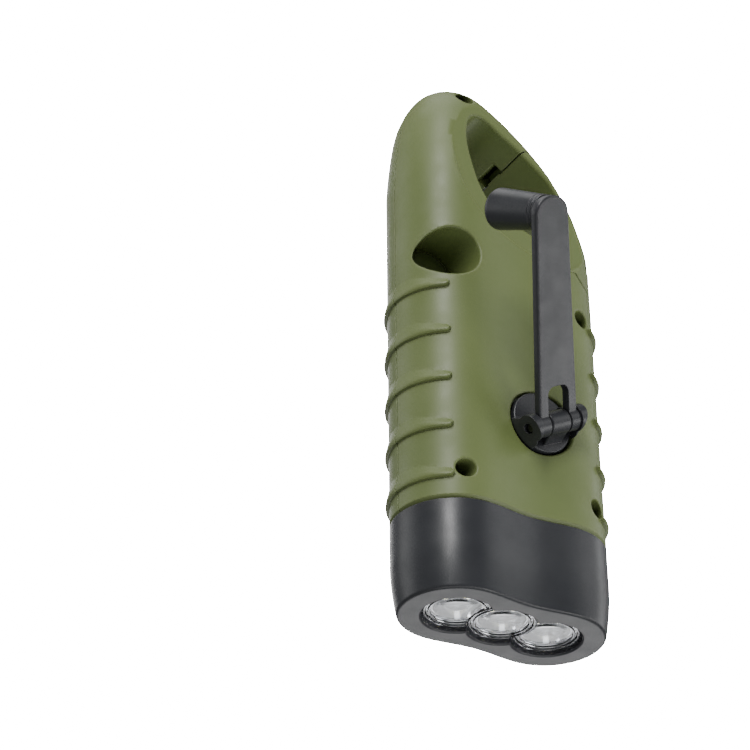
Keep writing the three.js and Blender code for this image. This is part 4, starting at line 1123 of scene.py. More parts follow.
def gate_region(grow):
    """All the space that the gate takes, seen along Y."""
    outline = [(gate_pin_x, gate_pin_z), gate_spot(gate_hub_radius + grow, gate_free_angle)]
    outline += arc(gate_pin_x, gate_pin_z, gate_tip_radius + grow, gate_region_angle, 180, sector_steps)
    region = prism("gate_region", outline, -deep, deep)
    knuckle = rod_y(gate_hub_radius + grow, -deep, deep, gate_pin_x, gate_pin_z, 2 * sector_steps)
    return join(region, knuckle)


def half_space(start, end):
    """A block wider and taller than the body between two Y values."""
    return prism("half", [(far, -far), (far, overall_length + far), (-far, overall_length + far),
                          (-far, -far)], start, end)


def gate_tongue(grow):
    """The tongue, or with some room round it the pocket that it goes into."""
    inner = gate_tip_radius - gate_hub_radius / 2
    outer = gate_tip_radius + tongue_length + grow
    first = pocket_from if grow else tongue_from
    last = tongue_to + (pocket_extra if grow else 0)
    outline = [gate_spot(inner, first), *arc(gate_pin_x, gate_pin_z, outer, first, last),
               gate_spot(inner, last)]
    return prism("tongue", outline, -tongue_half - grow, tongue_half + grow)


print("the gate's tip is", gate_tip_radius, "mm from its pin")

# %% [markdown]
# ## The gate
# The gate is the blank inside its own space, so its skin runs on from the body's without a
# step. A thin sill reaches into the gap at mid depth, so that no light shows through the gap
# while the gate is shut. The slot for the body's knuckle stays a wall's thickness inside the
# skin.

# %% Gate
gate_slot_half = 6.4
gate_slot_radius = 3.4
gate_slot_left = -24
gate_slot_round = 0.5
gate_wall = 0.9
sill_half = 2.4
sill_gap = 0.08
sill_inset = 1.0
gate_pin_bore = 1.55
skin = body_blank(wall / 2, 0)
gate = carve(doubled(blank), gate_region(0), "INTERSECT")
join(gate, carve(gate_tongue(0), doubled(skin), "INTERSECT"))
sill = carve(doubled(blank), gate_region(gate_gap - sill_gap), "INTERSECT")
carve(sill, body_blank(sill_inset, 0), "INTERSECT")
join(gate, carve(sill, half_space(-sill_half, sill_half), "INTERSECT"))
slot_reach = gate_hub_radius * 2
slot = rod_y(gate_slot_radius, -gate_slot_half, gate_slot_half, gate_pin_x, gate_pin_z)
join(slot, prism("slot", rounded_box(gate_slot_left, gate_pin_x + slot_reach,
                                     gate_pin_z - slot_reach, gate_pin_z, gate_slot_round),
                 -gate_slot_half, gate_slot_half))
carve(slot, body_blank(gate_wall, 0), "INTERSECT")
carve(gate, slot)
carve(gate, rod_y(gate_pin_bore, -deep, deep, gate_pin_x, gate_pin_z))
place_piece(gate, "gate_moulding", "gate", olive_plastic, "green_plastic", "carabiner_gate")

# %% [markdown]
# ## The gate's pin
# The gate turns on a steel pin whose end shows on the solar side, just under the skin. It is
# a plain bar, and the blank drawn in a little gives its end the body's own curve.

# %% Gate pin
gate_pin_radius = 1.4
gate_pin_sunk = 0.3
gate_pin_far_end = 7.4
rivet = rod_y(gate_pin_radius, -deep, gate_pin_far_end, gate_pin_x, gate_pin_z)
carve(rivet, body_blank(gate_pin_sunk, 0), "INTERSECT")
place_piece(rivet, "gate_rivet", "case", steel, "steel", "gate_pin")

# %% [markdown]
# ## Rounded wells
# The knob well, the hub's seat and the screw holes all have a small rounded lip, and that lip
# is what catches the light in the photograph. A well is lofted from rings whose height
# follows the skin of the body, so that the lip stays even where the body curves away.

# %% Wells that follow the skin
from mathutils.bvhtree import BVHTree

lip_rows = 5
well_steps = 56
bm = bmesh.new()
bm.from_mesh(blank.data)
skin_tree = BVHTree.FromBMesh(bm)
bm.free()


def skin_y(x, z):
    """How high the crank side's skin is over a point."""
    spot = skin_tree.ray_cast(Vector((x, 2 * deep, z)), Vector((0, -1, 0)))[0]
    return spot.y if spot else 0


def lipped_well(radius, floor, x, z, lip):
    """A round well down to a flat floor, its rim rounded where it meets the skin."""
    turns = [2 * math.pi * i / well_steps for i in range(well_steps)]

    def circle(reach):
        return [(x + reach * math.cos(t), z + reach * math.sin(t)) for t in turns]

    rings = [[(px, floor, pz) for px, pz in circle(radius)]]
    for i in range(lip_rows + 1):
        turn = quarter * i / lip_rows
        rings.append([(px, skin_y(px, pz) - lip * (1 - math.sin(turn)), pz)
                      for px, pz in circle(radius + lip * (1 - math.cos(turn)))])
    rings.append([(px, deep, pz) for px, pz in circle(radius + lip)])
    return loft("well", rings)


print("the crank side's skin at mid width is at", round(skin_y(0, rib_top), 2), "mm")

# %% [markdown]
# ## The body's section
# The lower body has the same section all the way down: two circles joined by a soft waist.
# The same closed line, drawn in by an inset, makes the chamfer over the head and later the
# head itself, so the two can't drift apart.

# %% Section line
lobe_steps = 40
waist_steps = 24


def section_line(inset, z):
    """The body's section, drawn in by an inset, as a closed ring at a height."""
    radius = lobe_radius - inset
    spans = [lobe_x - 2 * lobe_x * (i + 1) / (waist_steps + 1) for i in range(waist_steps)]
    line = arc(lobe_x, 0, radius, -90, 90, lobe_steps)
    line += [(x, section_depth(x, inset)) for x in spans]
    line += arc(-lobe_x, 0, radius, 90, 270, lobe_steps)
    line += [(-x, -section_depth(x, inset)) for x in spans]
    return [(x, y, z) for x, y in line]


print("the section has", len(section_line(0, 0)), "points")

# %% [markdown]
# ## The solar frame's outline
# The frame's outline is needed here already, because the front shell has a seat for it. Its
# sides are straight and its top is a lopsided arch, higher and rounder on one side, so the
# arch is drawn with curves that are pulled towards a corner.

# %% Solar outline
frame_left = -15.8
frame_right = 13
frame_bottom = 26
frame_shoulder = 73.6
frame_top = 78.6
frame_foot = 1.2
frame_head = 4
arch_steps = 24
arch_pull = 1.5
corner_steps = 10


def bend(a, b, c, steps):
    """Points from a to c on a curve that is pulled towards b."""
    first, middle, last = Vector(a), Vector(b), Vector(c)
    shares = [(i + 1) / steps for i in range(steps)]
    return [tuple(first.lerp(middle, t).lerp(middle.lerp(last, t), t)) for t in shares]


def solar_outline(grow=0.0):
    """The solar frame's outline: straight sides under a lopsided arch."""
    left, right = frame_left - grow, frame_right + grow
    bottom, shoulder = frame_bottom - grow, frame_shoulder + grow
    rise = frame_top - frame_shoulder
    middle = (left + right) / 2
    outline = arc(left + frame_foot, bottom + frame_foot, frame_foot, 180, 270, corner_steps)
    outline += arc(right - frame_foot, bottom + frame_foot, frame_foot, 270, 360, corner_steps)
    outline.append((right, shoulder - frame_head))
    for pulled_to, target, steps in (
        ((right, shoulder), (right - frame_head, shoulder + rise / 2), corner_steps),
        ((middle, shoulder + arch_pull * rise), (left + frame_head, shoulder), arch_steps),
        ((left, shoulder - frame_head / 2), (left, shoulder - frame_head), corner_steps),
    ):
        outline += bend(outline[-1], pulled_to, target, steps)
    return outline


print("the frame's outline has", len(solar_outline()), "points")

# %% [markdown]
# ## The hollow body
# The body is moulded in two halves that meet on the middle plane. The blank is hollowed by a
# smaller blank, loses the gate's space, and gets a small chamfer over the head. The fine
# line down the spine is a groove that goes only part of the way through the wall, because a
# gap right through it would let light show.

# %% Hollow and parting groove
parting_half = 0.15
parting_depth = 0.6
pan_floor_y = -8.2
pan_margin = 1.9
rim_chamfer = 0.6
rim_height = 0.75
rim_clear = 2.0
rim_top = head_length + rim_height
carve(blank, loft("rim", [section_line(rim_chamfer, head_length), section_line(0, rim_top),
                          section_line(-rim_clear, rim_top + rim_clear),
                          section_line(-rim_clear, overall_length + overrun)]), "INTERSECT")
hollow = body_blank(wall, 0)
carve(hollow, hole_cutter(wall, rounded=False))
carve(hollow, gate_region(gate_gap + wall))
carve(hollow, prism("pan", solar_outline(pan_margin), -deep, pan_floor_y))
carve(blank, gate_region(gate_gap))
carve(blank, gate_tongue(gate_gap))
carve(blank, hollow)
carve(blank, carve(half_space(-parting_half, parting_half), body_blank(parting_depth, 0)))
print("hollow body:", len(blank.data.polygons))

# %% [markdown]
# ## Lug, button opening and bosses
# Three shapes are needed in both halves, so each is drawn by a helper. The lug is the
# knuckle that carries the gate's pin, with a web under the gate that closes the view into
# the body. The button's block also cuts its own opening, and a boss is a round post that
# ends half way into the skin.

# %% Lug, button opening and bosses
lug_radius = 2.2
lug_neck = 2.2
lug_drop = 10
pin_fit = 0.02
web_inner = 7.4
web_outer = 9.4
web_from = -150
web_to = -29
button_z = 33.8
button_half_y = 2.3
button_half_z = 2.4
button_round = 1.0


def gate_lug(start, end):
    """The knuckle that carries the gate pin."""
    left, right = wall - half_width, gate_pin_x + lug_neck
    bottom = gate_pin_z - lug_drop
    neck_line = [(left, gate_pin_z), (left, bottom), (right, bottom), (right, gate_pin_z)]
    web_line = arc(gate_pin_x, gate_pin_z, web_outer, web_from, web_to, sector_steps)
    web_line += arc(gate_pin_x, gate_pin_z, web_inner, web_to, web_from, sector_steps)
    neck = prism("neck", neck_line, start, end)
    join(neck, rod_y(lug_radius, start, end, gate_pin_x, gate_pin_z))
    join(neck, prism("web", web_line, start, end))
    carve(neck, body_blank(gate_wall + gate_gap, 0), "INTERSECT")
    return carve(neck, rod_y(gate_pin_radius + pin_fit, -deep, deep, gate_pin_x, gate_pin_z))


def button_block(grow, start, end, bevel=0.0):
    """The power button's rounded block along X, or the opening for it."""
    outline = rounded_box(-button_half_y - grow, button_half_y + grow,
                          button_z - button_half_z - grow, button_z + button_half_z + grow,
                          button_round + grow)
    return moved(prism("button", outline, start, end, bevel), along_x)


def boss(radius, start, x, z, end=deep):
    """A round boss inside the body, up to half way into the skin."""
    return carve(rod_y(radius, start, end, x, z), doubled(skin), "INTERSECT")


print("the lug's web spans", web_to - web_from, "degrees")

# %% [markdown]
# ## The front shell
# The half on the solar side is the hollow body below the middle plane. It has the seat for
# the solar frame, a hole for the cell's lead, and four posts that the case screws bite into.

# %% Front shell
body_seat = 0.3
run_gap = 0.3
parting_close = 0.005
lug_half = 4.2
button_seat_x = -22.2
screw_places = [(15.9, 27.8), (-17.7, 27.9), (-16.2, 76.4), (11.4, 131.3)]
screw_seat = 6
screw_boss_radius = 3
front_bore = 1.05
lead_hole_radius = 1.2
lead_hole = (-10.3, 56)
frame_seat_y = -9.8
front = carve(doubled(blank), half_space(-far, -parting_close), "INTERSECT")
join(front, gate_lug(-lug_half, -parting_half))
for x, z in screw_places:
    join(front, boss(screw_boss_radius, -deep, x, z, -parting_half))
    carve(front, rod_y(front_bore, -screw_seat - body_seat, 0, x, z))
carve(front, prism("frame_seat", solar_outline(body_seat), -deep, frame_seat_y))
carve(front, rod_y(lead_hole_radius, -deep, 0, *lead_hole))
carve(front, button_block(run_gap, -2 * deep, button_seat_x))
place_piece(front, "solar_half_shell", "case", olive_plastic, "green_plastic", "front_shell")

# %% [markdown]
# ## The back shell
# The half on the crank side carries almost everything: the seat and the bush of the crank,
# the well that the folded knob goes into, the screw holes, the posts of the gear plate and
# the seats of the two gear axles. Bosses are joined before the wells are cut into them.

# %% Back shell
screw_hole_radius = 2.1
screw_lip = 0.45
shank_bore = 1.2
crank_x = -3.5
crank_z = 44.6
hub_well_radius = 7.75
hub_well_floor = 10.6
hub_pad_radius = 10.4
hub_pad_from = 8.4
hub_lip = 0.5
bush_bore = 4.3
knob_well = (17.37, 83.85)
knob_well_radius = 6.35
knob_well_floor = 0.8
knob_cup_radius = 7.75
knob_cup_from = -0.6
knob_lip = 0.6
standoffs = [(14.5, 38), (-15, 64.5), (16.5, 71)]
standoff_radius = 2.6
standoff_from = 1.2
gear_bosses = [(5.5, 60.19, 3, 8.9, 1.3, 10.2), (-1.09, 74.33, 3, 5.3, 1.2, 7.9)]
standoff_bore_depth = 6

back = carve(doubled(blank), half_space(parting_close, far), "INTERSECT")
join(back, gate_lug(parting_half, lug_half))
join(back, boss(hub_pad_radius, hub_pad_from, crank_x, crank_z))
join(back, boss(knob_cup_radius, knob_cup_from, *knob_well))
for x, z in screw_places:
    join(back, boss(screw_boss_radius, parting_half, x, z))
    carve(back, rod_y(shank_bore, 0, deep, x, z))
    carve(back, lipped_well(screw_hole_radius, screw_seat, x, z, screw_lip))
for x, z in standoffs:
    join(back, boss(standoff_radius, standoff_from, x, z))
    carve(back, rod_y(front_bore, 0, standoff_bore_depth, x, z))
for x, z, radius, start, bore, bore_end in gear_bosses:
    join(back, boss(radius, start, x, z))
    carve(back, rod_y(bore, 0, bore_end, x, z))
carve(back, lipped_well(hub_well_radius, hub_well_floor, crank_x, crank_z, hub_lip))
carve(back, rod_y(bush_bore, 0, deep, crank_x, crank_z))
carve(back, lipped_well(knob_well_radius, knob_well_floor, *knob_well, knob_lip))
carve(back, button_block(run_gap, -2 * deep, button_seat_x))
place_piece(back, "crank_half_shell", "case", olive_plastic, "green_plastic", "back_shell")
for leftover in (blank, skin):
    bpy.data.objects.remove(leftover)

# %% [markdown]
# ## The power button
# A small black button pokes out of the narrow side, near the head. It is a rounded block
# with a flange that keeps it inside the shells.

# %% Power button
button_proud = 0.89
button_flange = 1.1
button_flange_thick = 0.7
button_edge = 0.5
button_face = -half_width - button_proud
button = button_block(0, button_face, button_seat_x + button_flange_thick, button_edge)
join(button, button_block(button_flange, button_seat_x, button_seat_x + button_flange_thick))
place_piece(button, "power_knob", "button", black_plastic, "black_plastic", "power_button")

# %% [markdown]
# ## The head
# The dark foot of the torch carries on the body's section and draws in towards a flat end
# face with a rounded rim. It is lofted from the body's own section line, drawn in by a taper
# that starts slowly, so that the side has the same soft curve as in the photograph. The end
# face has three round openings that run into each other.

# %% Head cap
cap_top = 20.3
cap_side_inset = 1.25
cap_rim_round = 0.8
cap_taper_from = 11
cap_taper_power = 1.7
cap_rows = 14
cap_rim_rows = 6
cap_floor = 3
cap_hollow_inset = 3.9
collar_inset = 2.3
collar_top = 23.5
collar_from = 17
lens_pitch = 11.07
lens_opening = 7.6
opening_lip = 0.35
opening_inner = cap_floor + overrun / 2
lens_places = [-lens_pitch, 0, lens_pitch]
fine_steps = 96


def cap_inset(z):
    """How far the head has drawn in at a height."""
    return cap_side_inset * max(1 - z / cap_taper_from, 0) ** cap_taper_power


cap_rings = [section_line(0, cap_top)]
for i in range(cap_rows + 1):
    z = cap_taper_from + (cap_rim_round - cap_taper_from) * i / cap_rows
    cap_rings.append(section_line(cap_inset(z), z))
for i in range(1, cap_rim_rows + 1):
    turn = quarter * i / cap_rim_rows
    z = cap_rim_round * (1 - math.sin(turn))
    drawn_in = cap_inset(cap_rim_round) + cap_rim_round * (1 - math.cos(turn))
    cap_rings.append(section_line(drawn_in, z))
cap = loft("cap", cap_rings)
collar_rings = [section_line(collar_inset, collar_from), section_line(collar_inset, collar_top)]
hollow_rings = [section_line(cap_hollow_inset, cap_floor),
                section_line(cap_hollow_inset, collar_top + overrun)]
opening_line = [(0, -overrun), (lens_opening + opening_lip, -overrun), (lens_opening + opening_lip, 0),
                (lens_opening, opening_lip), (lens_opening, opening_inner), (0, opening_inner)]
join(cap, loft("collar", collar_rings))
carve(cap, loft("cap_hollow", hollow_rings))
for x in lens_places:
    carve(cap, turned_z("opening", opening_line, x, 0, fine_steps))
place_piece(cap, "head_moulding", "case", charcoal_plastic, "grey_plastic", "head_cap")

# %% [markdown]
# ## The lens plate
# One clear plate covers all three lamps. Each of its lenses is a low dome inside two raised
# rings, and the middle lens lies over its neighbours, so their overlap is cut away first. A
# spun profile gives the dome and the beads in one go.

# %% Lens plate
lens_front = 1.5
lens_back = 2.8
lens_plate_radius = 7.3
lens_dome_radius = 5.2
lens_rise = 0.6
dome_rows = 8
ring_beads = [(5.85, 0.32), (6.85, 0.4)]
bead_rows = 8
middle_clear = 7.32

lens_profile = [(0, lens_back)]
for i in range(dome_rows + 1):
    share = i / dome_rows
    lens_profile.append((lens_dome_radius * share, lens_front - lens_rise * (1 - share * share)))
for radius, bead in ring_beads:
    for i in range(bead_rows + 1):
        turn = math.pi * i / bead_rows
        lens_profile.append((radius - bead * math.cos(turn), lens_front - bead * math.sin(turn)))
lens_profile += [(lens_plate_radius, lens_front), (lens_plate_radius, lens_back)]
clear_line = [(0, -overrun), (middle_clear, -overrun), (middle_clear, lens_front), (0, lens_front)]
plate = turned_z("lens", lens_profile, lens_places[0], 0, fine_steps)
join(plate, turned_z("lens", lens_profile, lens_places[2], 0, fine_steps))
carve(plate, turned_z("clear", clear_line, 0, 0, fine_steps))
join(plate, turned_z("lens", lens_profile, lens_places[1], 0, fine_steps))
place_piece(plate, "lens_glazing", "case", clear_lens, "clear_lens", "lens_plate")

# %% [markdown]
# ## Reflectors and lamps
# Behind each lens sits a chromed bowl, and a lamp looks out of its throat. A parabola sends
# the lamp's light straight out, so the bowl's radius squared falls evenly with its depth.
# The bowls have flanges that meet edge to edge, so that they read as one chromed part.

# %% Reflectors and lamps
bowl_front = 3.1
bowl_neck_z = 9.3
bowl_back = 12.7
bowl_mouth = 5.0
bowl_neck = 2.8
bowl_rim = 5.3
bowl_wall = 0.5
flange_radius = 7.2
flange_thick = 0.35
flange_reach = 5.4
bowl_rows = 16
bowl_steps = 72
lamp_radius = 2.5
lamp_tip = 6.3
lamp_chamfer = 0.3
lamp_rows = 8
lamp_steps = 40

bowl_curve = (bowl_mouth ** 2 - bowl_neck ** 2) / (bowl_neck_z - bowl_front)
bowl_profile = []
for i in range(bowl_rows + 1):
    z = bowl_front + (bowl_neck_z - bowl_front) * i / bowl_rows
    bowl_profile.append((math.sqrt(bowl_mouth ** 2 - bowl_curve * (z - bowl_front)), z))
outer_wall = [(radius + bowl_wall, z) for radius, z in bowl_profile[::-1]]
outer_wall[-1:] = [(bowl_rim, bowl_front + flange_thick), (flange_radius, bowl_front + flange_thick),
                   (flange_radius, bowl_front)]
bowl_profile += [(bowl_neck, bowl_back), (bowl_neck + bowl_wall, bowl_back), *outer_wall]
lamp_profile = []
for i in range(lamp_rows + 1):
    turn = quarter * i / lamp_rows
    lamp_profile.append((lamp_radius * math.sin(turn), lamp_tip + lamp_radius * (1 - math.cos(turn))))
lamp_profile += [(lamp_radius, bowl_back - lamp_chamfer), (lamp_radius - lamp_chamfer, bowl_back),
                 (0, bowl_back)]
for i, x in enumerate(lens_places):
    number = str(i + 1)
    left = x - (flange_reach if i > 0 else deep)
    right = x + (flange_reach if i < 2 else deep)
    bowl = turned_z("bowl", bowl_profile, x, 0, bowl_steps)
    share = prism("share", [(right, 0), (right, deep), (left, deep), (left, 0)], -deep, deep)
    carve(bowl, share, "INTERSECT")
    place_piece(bowl, "bowl_" + number, "case", chrome, "chrome_bowl", "reflector_" + number)
    lamp = turned_z("lamp", lamp_profile, x, 0, lamp_steps)
    place_piece(lamp, "lamp_" + number, "case", lamp_resin, "lamp_resin", "led_" + number)

# %% [markdown]
# ## The solar frame
# The solar cell lies at the bottom of a charcoal frame. The frame slopes up from the body to
# a ridge, slopes down again with mitred corners to a narrow ledge, and is wide and flat
# under its arched top. The slopes are lofted, as cutters whose outline shrinks with depth.

# %% Solar frame
frame_back_y = -10.1
frame_side_y = -12.35
frame_front_y = -13.2
ridge_inset = 1.25
slope_floor_y = -12.25
pocket_floor_y = -10.7
window_left = -12.3
window_right = 8
window_bottom = 31.6
window_top = 70.6
mitre_round = 0.35
ridge_box = (-14.35, 11.4, 27.6, 71.9)
ledge_box = (-12.9, 9.3, 30.1, 71.15)


def frame_ring(y, grow):
    """The frame's outline at a depth."""
    return [(x, y, z) for x, z in solar_outline(grow)]


def box_ring(y, box, steps=4):
    """A rectangle with nearly sharp corners at a depth."""
    return [(x, y, z) for x, z in rounded_box(*box, mitre_round, steps)]


solar = loft("solar", [frame_ring(frame_back_y, 0), frame_ring(frame_side_y, 0),
                       frame_ring(frame_front_y, -ridge_inset)])
carve(solar, loft("slope", [box_ring(-deep, ridge_box), box_ring(frame_front_y, ridge_box),
                            box_ring(slope_floor_y, ledge_box)]))
pocket_line = rounded_box(window_left, window_right, window_bottom, window_top, mitre_round)
carve(solar, prism("pocket", pocket_line, -deep, pocket_floor_y))
carve(solar, rod_y(lead_hole_radius, -deep, 0, *lead_hole))
place_piece(solar, "solar_bezel", "case", charcoal_plastic, "grey_plastic", "solar_frame")

# %% [markdown]
# ## The solar cell
# The cell is a thin plate that lies in the frame's pocket with a little room all round. Two
# of its corners are rounder than the others, so its outline is made of arcs of two sizes.

# %% Solar cell
cell_front = -11.8
cell_back = -11.0
cell_gap = 0.3
cell_round = 2
cell_corner = 0.4
cell_edge = 0.08
cell_left, cell_right = window_left + cell_gap, window_right - cell_gap
cell_bottom, cell_top = window_bottom + cell_gap, window_top - cell_gap
cell_line = [*arc(cell_right - cell_corner, cell_top - cell_corner, cell_corner, 0, 90),
             *arc(cell_left + cell_round, cell_top - cell_round, cell_round, 90, 180),
             *arc(cell_left + cell_corner, cell_bottom + cell_corner, cell_corner, 180, 270),
             *arc(cell_right - cell_round, cell_bottom + cell_round, cell_round, 270, 360)]
cell = prism("cell", cell_line, cell_front, cell_back, cell_edge, 1)
place_piece(cell, "solar_wafer", "case", solar_cell_finish, "solar_glass", "solar_cell")

# %% [markdown]
# ## Turning the crank into place
# The crank is drawn about its own axis with the arm along +Z, as on a maker's drawing, and
# two matrices then turn it: one for the hub, and one more for all that folds about the
# hinge. Modelling it in its lifted place would need skewed numbers for the same shapes.

# %% Turning the crank into place
hub_turn = math.radians(28)
arm_lift = math.radians(35)
pin_y = 16.4
pin_below_hub = 1.8
crank_matrix = Matrix.Translation((crank_x, 0, crank_z)) @ Matrix.Rotation(hub_turn, 4, "Y")
fold_matrix = (crank_matrix @ Matrix.Translation((0, pin_y, -pin_below_hub))
               @ Matrix.Rotation(-arm_lift, 4, "X"))


def rod_x(radius, start, end, y=0, z=0, steps=40):
    """A round bar along X."""
    return moved(rod_y(radius, start, end, -y, z, steps), along_x)


def slab_x(outline, start, end, bevel=0.0):
    """A flat outline in Y and Z, pulled along X."""
    return moved(prism("slab", [(-y, z) for y, z in outline], start, end, bevel), along_x)


print("the arm is lifted by", round(math.degrees(arm_lift)), "degrees")

# %% [markdown]
# ## The crank's hub
# The hub is a flat disc with a soft rim that turns in its seat. It carries a hinge of one
# middle lug and two cheeks, and the arm folds about the pin between them. The cheeks are
# crossed with the hub's own cylinder, so that their outer faces are round like the disc.

# %% Crank hub
hub_radius = 7.9
hub_disc_radius = 7.25
hub_bottom = 10.9
hub_face = 13.3
hub_edge = 0.45
hub_edge_rows = 4
lug_half_width = 2.7
lug_top_radius = 2.7
lug_foot = 3.6
cheek_from = 5.9
cheek_radius = 3
cheek_foot = 4.4
knuckle_bore = 1.15
soft_edge = 0.3
steepest_lean = 0.5
crown_steps = 18


def ear(radius, foot, start, end, edge):
    """An upright of the hinge: a tapering foot under a round top."""
    feet = [(hub_face - run_gap, -pin_below_hub + foot), (hub_face - run_gap, -pin_below_hub - foot)]
    lean = math.asin(min((foot - radius) / (pin_y - hub_face), steepest_lean)) / 2
    sweep = math.pi + 2 * lean
    turns = [math.pi + lean - sweep * i / crown_steps for i in range(crown_steps + 1)]
    crown = [(pin_y + radius * math.sin(t), -pin_below_hub + radius * math.cos(t)) for t in turns]
    return slab_x([*feet, *crown], start, end, edge)


rounding = [(hub_disc_radius - hub_edge + hub_edge * math.cos(quarter * i / hub_edge_rows),
             hub_face - hub_edge + hub_edge * math.sin(quarter * i / hub_edge_rows))
            for i in range(hub_edge_rows + 1)]
hub_line = [(0, hub_bottom), (hub_disc_radius, hub_bottom), *rounding, (0, hub_face)]
hub = turned_y("hub", hub_line, 0, 0, fine_steps)
for start, end in ((-hub_radius, -cheek_from), (cheek_from, hub_radius)):
    cheek = ear(cheek_radius, cheek_foot, start, end, 0)
    rim = rod_y(hub_radius, hub_bottom, deep, 0, 0, fine_steps)
    join(hub, carve(cheek, rim, "INTERSECT"))
join(hub, ear(lug_top_radius, lug_foot, -lug_half_width, lug_half_width, soft_edge))
carve(hub, rod_x(knuckle_bore, -deep, deep, pin_y, -pin_below_hub))
moved(hub, crank_matrix)
place_piece(hub, "hub_moulding", "crank", charcoal_plastic, "grey_plastic", "crank_hub")

# %% [markdown]
# ## The hinge pin
# A dark steel pin goes through the cheeks, the lug and the arm. It ends just short of the
# hub's round sides, and its ends are chamfered, which makes it read as a pin and not a hole.

# %% Hinge pin
hinge_radius = 1
hinge_half = math.sqrt(hub_radius ** 2 - pin_below_hub ** 2) - 2 * body_seat
hinge_edge = 0.2
hinge_line = [(0, -hinge_half), (hinge_radius - hinge_edge, -hinge_half),
              (hinge_radius, hinge_edge - hinge_half), (hinge_radius, hinge_half - hinge_edge),
              (hinge_radius - hinge_edge, hinge_half), (0, hinge_half)]
hinge = turned_y("hinge", hinge_line, -pin_y, -pin_below_hub)
moved(hinge, crank_matrix @ along_x)
place_piece(hinge, "hinge_rivet", "crank", dark_steel, "steel", "hinge_pin")

# %% [markdown]
# ## The crank's arm
# The arm tapers to a flattened round tip. Behind the hinge it has an arched window, which
# lets it fold flat over the middle lug. Its knuckle is a bar across its foot, and the edges
# are bevelled while it is still a plain prism, because a bevel is cleanest there.

# %% Crank arm
arm_reach = 45.3
arm_half_thick = 1.6
arm_root_half = 5.6
arm_tip_half = 4.8
arm_tip_rise = 0.78
arm_inner_y = -0.3
arm_edge = 0.5
knuckle_radius = 2.6
window_half = 3.1
window_corner = 1.9
window_reach = 8.3
tip_steps = 20
screw_radius = 1.3
screw_bite = 2
screw_clear = 0.1


def arm_line():
    """The arm's outline: a taper with a flattened round tip."""
    crown = [(x, arm_reach + (z - arm_reach) * arm_tip_rise)
             for x, z in arc(0, arm_reach, arm_tip_half, 0, 180, tip_steps)]
    return [(arm_root_half, 0), *crown, (-arm_root_half, 0)]


arm = prism("arm", arm_line(), arm_inner_y, arm_half_thick, arm_edge)
join(arm, rod_x(knuckle_radius, -arm_root_half, arm_root_half))
arch = rounded_box(-window_half, window_half, -deep, window_reach, window_corner)
carve(arm, prism("window", arch, -deep, deep))
carve(arm, rod_x(knuckle_bore, -deep, deep))
carve(arm, rod_y(screw_radius + screw_clear, -deep, screw_bite - arm_half_thick, 0, arm_reach))
moved(arm, fold_matrix)
place_piece(arm, "arm_moulding", "arm", charcoal_plastic, "grey_plastic", "crank_arm")

# %% [markdown]
# ## The knob
# The knob is a hollow-ended, slightly tapered handle that spins on a screw at the arm's tip.
# It widens towards its free end and has fine grooves next to the arm. All of that is one
# profile, spun once.

# %% Knob
knob_top = arm_inner_y - run_gap
knob_drop = -15.3
knob_root = 3.8
knob_end = 4.6
knob_end_round = 1.4
knob_sink = 2.4
knob_bore = 1.6
knob_recess = 2.4
knob_grooves = [0.75, 1.75]
groove_half = 0.14
groove_depth = 0.22
knob_rows = 8
knob_steps = 80


def knob_side(y):
    """The knob's radius at a depth: an even taper."""
    share = (knob_top - y) / (knob_top - knob_drop - knob_end_round)
    return knob_root + (knob_end - knob_root) * share


side_line = [(knob_side(knob_top), knob_top)]
for groove in knob_grooves:
    y = knob_top - groove
    side_line += [(knob_side(y), y + groove_half), (knob_side(y) - groove_depth, y),
                  (knob_side(y), y - groove_half)]
round_centre = knob_end - knob_end_round
side_line += [(round_centre + knob_end_round * math.cos(quarter * i / knob_rows),
               knob_drop + knob_end_round * (1 - math.sin(quarter * i / knob_rows)))
              for i in range(knob_rows + 1)]
knob = turned_y("knob", [(knob_bore, knob_top), *side_line, (knob_recess, knob_drop),
                         (knob_recess, knob_drop + knob_sink), (knob_bore, knob_drop + knob_sink)],
                0, arm_reach, knob_steps)
moved(knob, fold_matrix)
place_piece(knob, "knob_moulding", "knob", charcoal_plastic, "grey_plastic", "crank_knob")

# %% [markdown]
# ## Cross-headed screws
# A screw could be a plain cylinder, but its domed head and cross recess are what tell it
# from a rivet. The shank and the head are one spun profile, and the recess is cut by two
# bars. The thread is left out, because it is never seen.

# %% Knob screw
head_radius = 2.1
head_height = 1.2
head_dome = 0.35
crown_rows = 5
head_steps = 40
cross_half_width = 0.28
cross_reach = 1.25
cross_depth = 0.7
cross_corner = 0.1


def cross_headed(radius, head, shank_end, seat, top, dome):
    """A screw along Y: shank, domed head and cross recess. The head points to the top value."""
    way = math.copysign(1, top - seat)
    turns = [quarter * i / crown_rows for i in range(crown_rows + 1)]
    crown = [(head * math.cos(t), top - way * dome * (1 - math.sin(t))) for t in turns]
    shank = [(0, shank_end), (radius, shank_end), (radius, seat), (head, seat)]
    screw = turned_y("screw", shank + crown, 0, 0, head_steps)
    bar_line = rounded_box(-cross_reach, cross_reach, -cross_half_width, cross_half_width, cross_corner)
    for turn in (0, quarter):
        bar = prism("bar", bar_line, top - way * cross_depth, top + way)
        carve(screw, moved(bar, Matrix.Rotation(turn, 4, "Y")))
    return screw


screw_seat_y = knob_drop + knob_sink - run_gap
knob_fastener = cross_headed(screw_radius, head_radius, screw_bite - arm_half_thick - body_seat,
                             screw_seat_y, screw_seat_y - head_height, head_dome)
moved(knob_fastener, fold_matrix @ Matrix.Translation((0, 0, arm_reach)))
place_piece(knob_fastener, "knob_fastener", "arm", steel, "steel", "knob_screw")

# %% [markdown]
# ## The case screws
# Four screws hold the halves together from the crank side. Their length differs with the
# depth of the body, so each one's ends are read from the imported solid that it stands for.

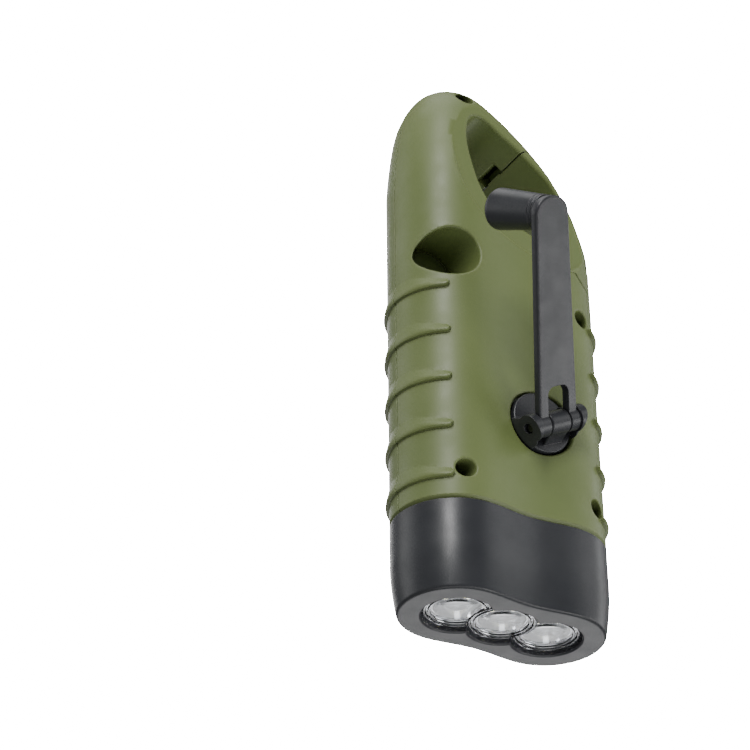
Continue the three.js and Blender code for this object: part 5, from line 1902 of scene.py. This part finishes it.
# %% Case screws
case_screw_dome = 0.3
shank_radius = 0.9
for i, (x, z) in enumerate(screw_places):
    node = "case_screw_" + str(i + 1)
    low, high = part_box(node)
    start, end = (low.y - body_middle.y) / MM, (high.y - body_middle.y) / MM
    head = (high.x - low.x) / 2 / MM
    screw = cross_headed(shank_radius, head, start, screw_seat, end, case_screw_dome)
    moved(screw, Matrix.Translation((x, 0, z)))
    place_piece(screw, "shell_screw_" + str(i + 1), "case", dark_steel, "steel", node)

# %% [markdown]
# ## The gate's spring
# Two coils of steel wire sit on the gate's pin, one on each side of the body's knuckle, and
# push the gate shut. A circle is spun and raised at the same time, which gives a helix.

# %% Gate spring
spring_wire = 0.22
spring_wire_sides = 10
spring_radius = 1.85
spring_turns = 2.5
spring_pitch = 0.5
spring_from = 4.4
spring_steps = 72


def coil(start, way):
    """A wire wound about the gate's pin, with closed ends."""
    bm = bmesh.new()
    made = bmesh.ops.create_circle(bm, cap_ends=True, segments=spring_wire_sides, radius=spring_wire)
    face = list({f for v in made["verts"] for f in v.link_faces})
    bmesh.ops.translate(bm, verts=made["verts"], vec=(spring_radius, 0, 0))
    climb = way * spring_pitch * spring_turns / spring_steps
    bmesh.ops.spin(bm, geom=[*made["verts"], *face], cent=(0, 0, 0), axis=(0, 1, 0), dvec=(0, climb, 0),
                   angle=2 * math.pi * spring_turns, steps=spring_steps, use_merge=False,
                   use_duplicate=False)
    bmesh.ops.translate(bm, verts=bm.verts, vec=(gate_pin_x, start, gate_pin_z))
    return as_object("coil", bm)


spring = join(coil(spring_from, 1), coil(-spring_from, -1))
place_piece(spring, "gate_coils", "case", steel, "steel", "gate_spring")

# %% [markdown]
# ## What stays as it was packed
# The gear train, the generator, the boards and the battery are inside and keep their packed
# solids, but each still gets the finish of what it is made of. The finish is looked up by
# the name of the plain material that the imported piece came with.

# %% Finishes for the inner parts
finishes = {
    "green_plastic": olive_plastic, "grey_plastic": charcoal_plastic, "black_plastic": black_plastic,
    "white_plastic": white_plastic, "clear_lens": clear_lens, "chrome_bowl": chrome,
    "lamp_resin": lamp_resin, "circuit_board": circuit_board, "solar_glass": solar_cell_finish,
    "steel": steel, "brass": brass, "copper_wire": copper_wire,
}
dressed = 0
for obj in frame["nodes"].values():
    for place in obj.material_slots:
        place.material = finishes.get(place.material.name, place.material)
        dressed += 1
print("inner parts dressed:", dressed)
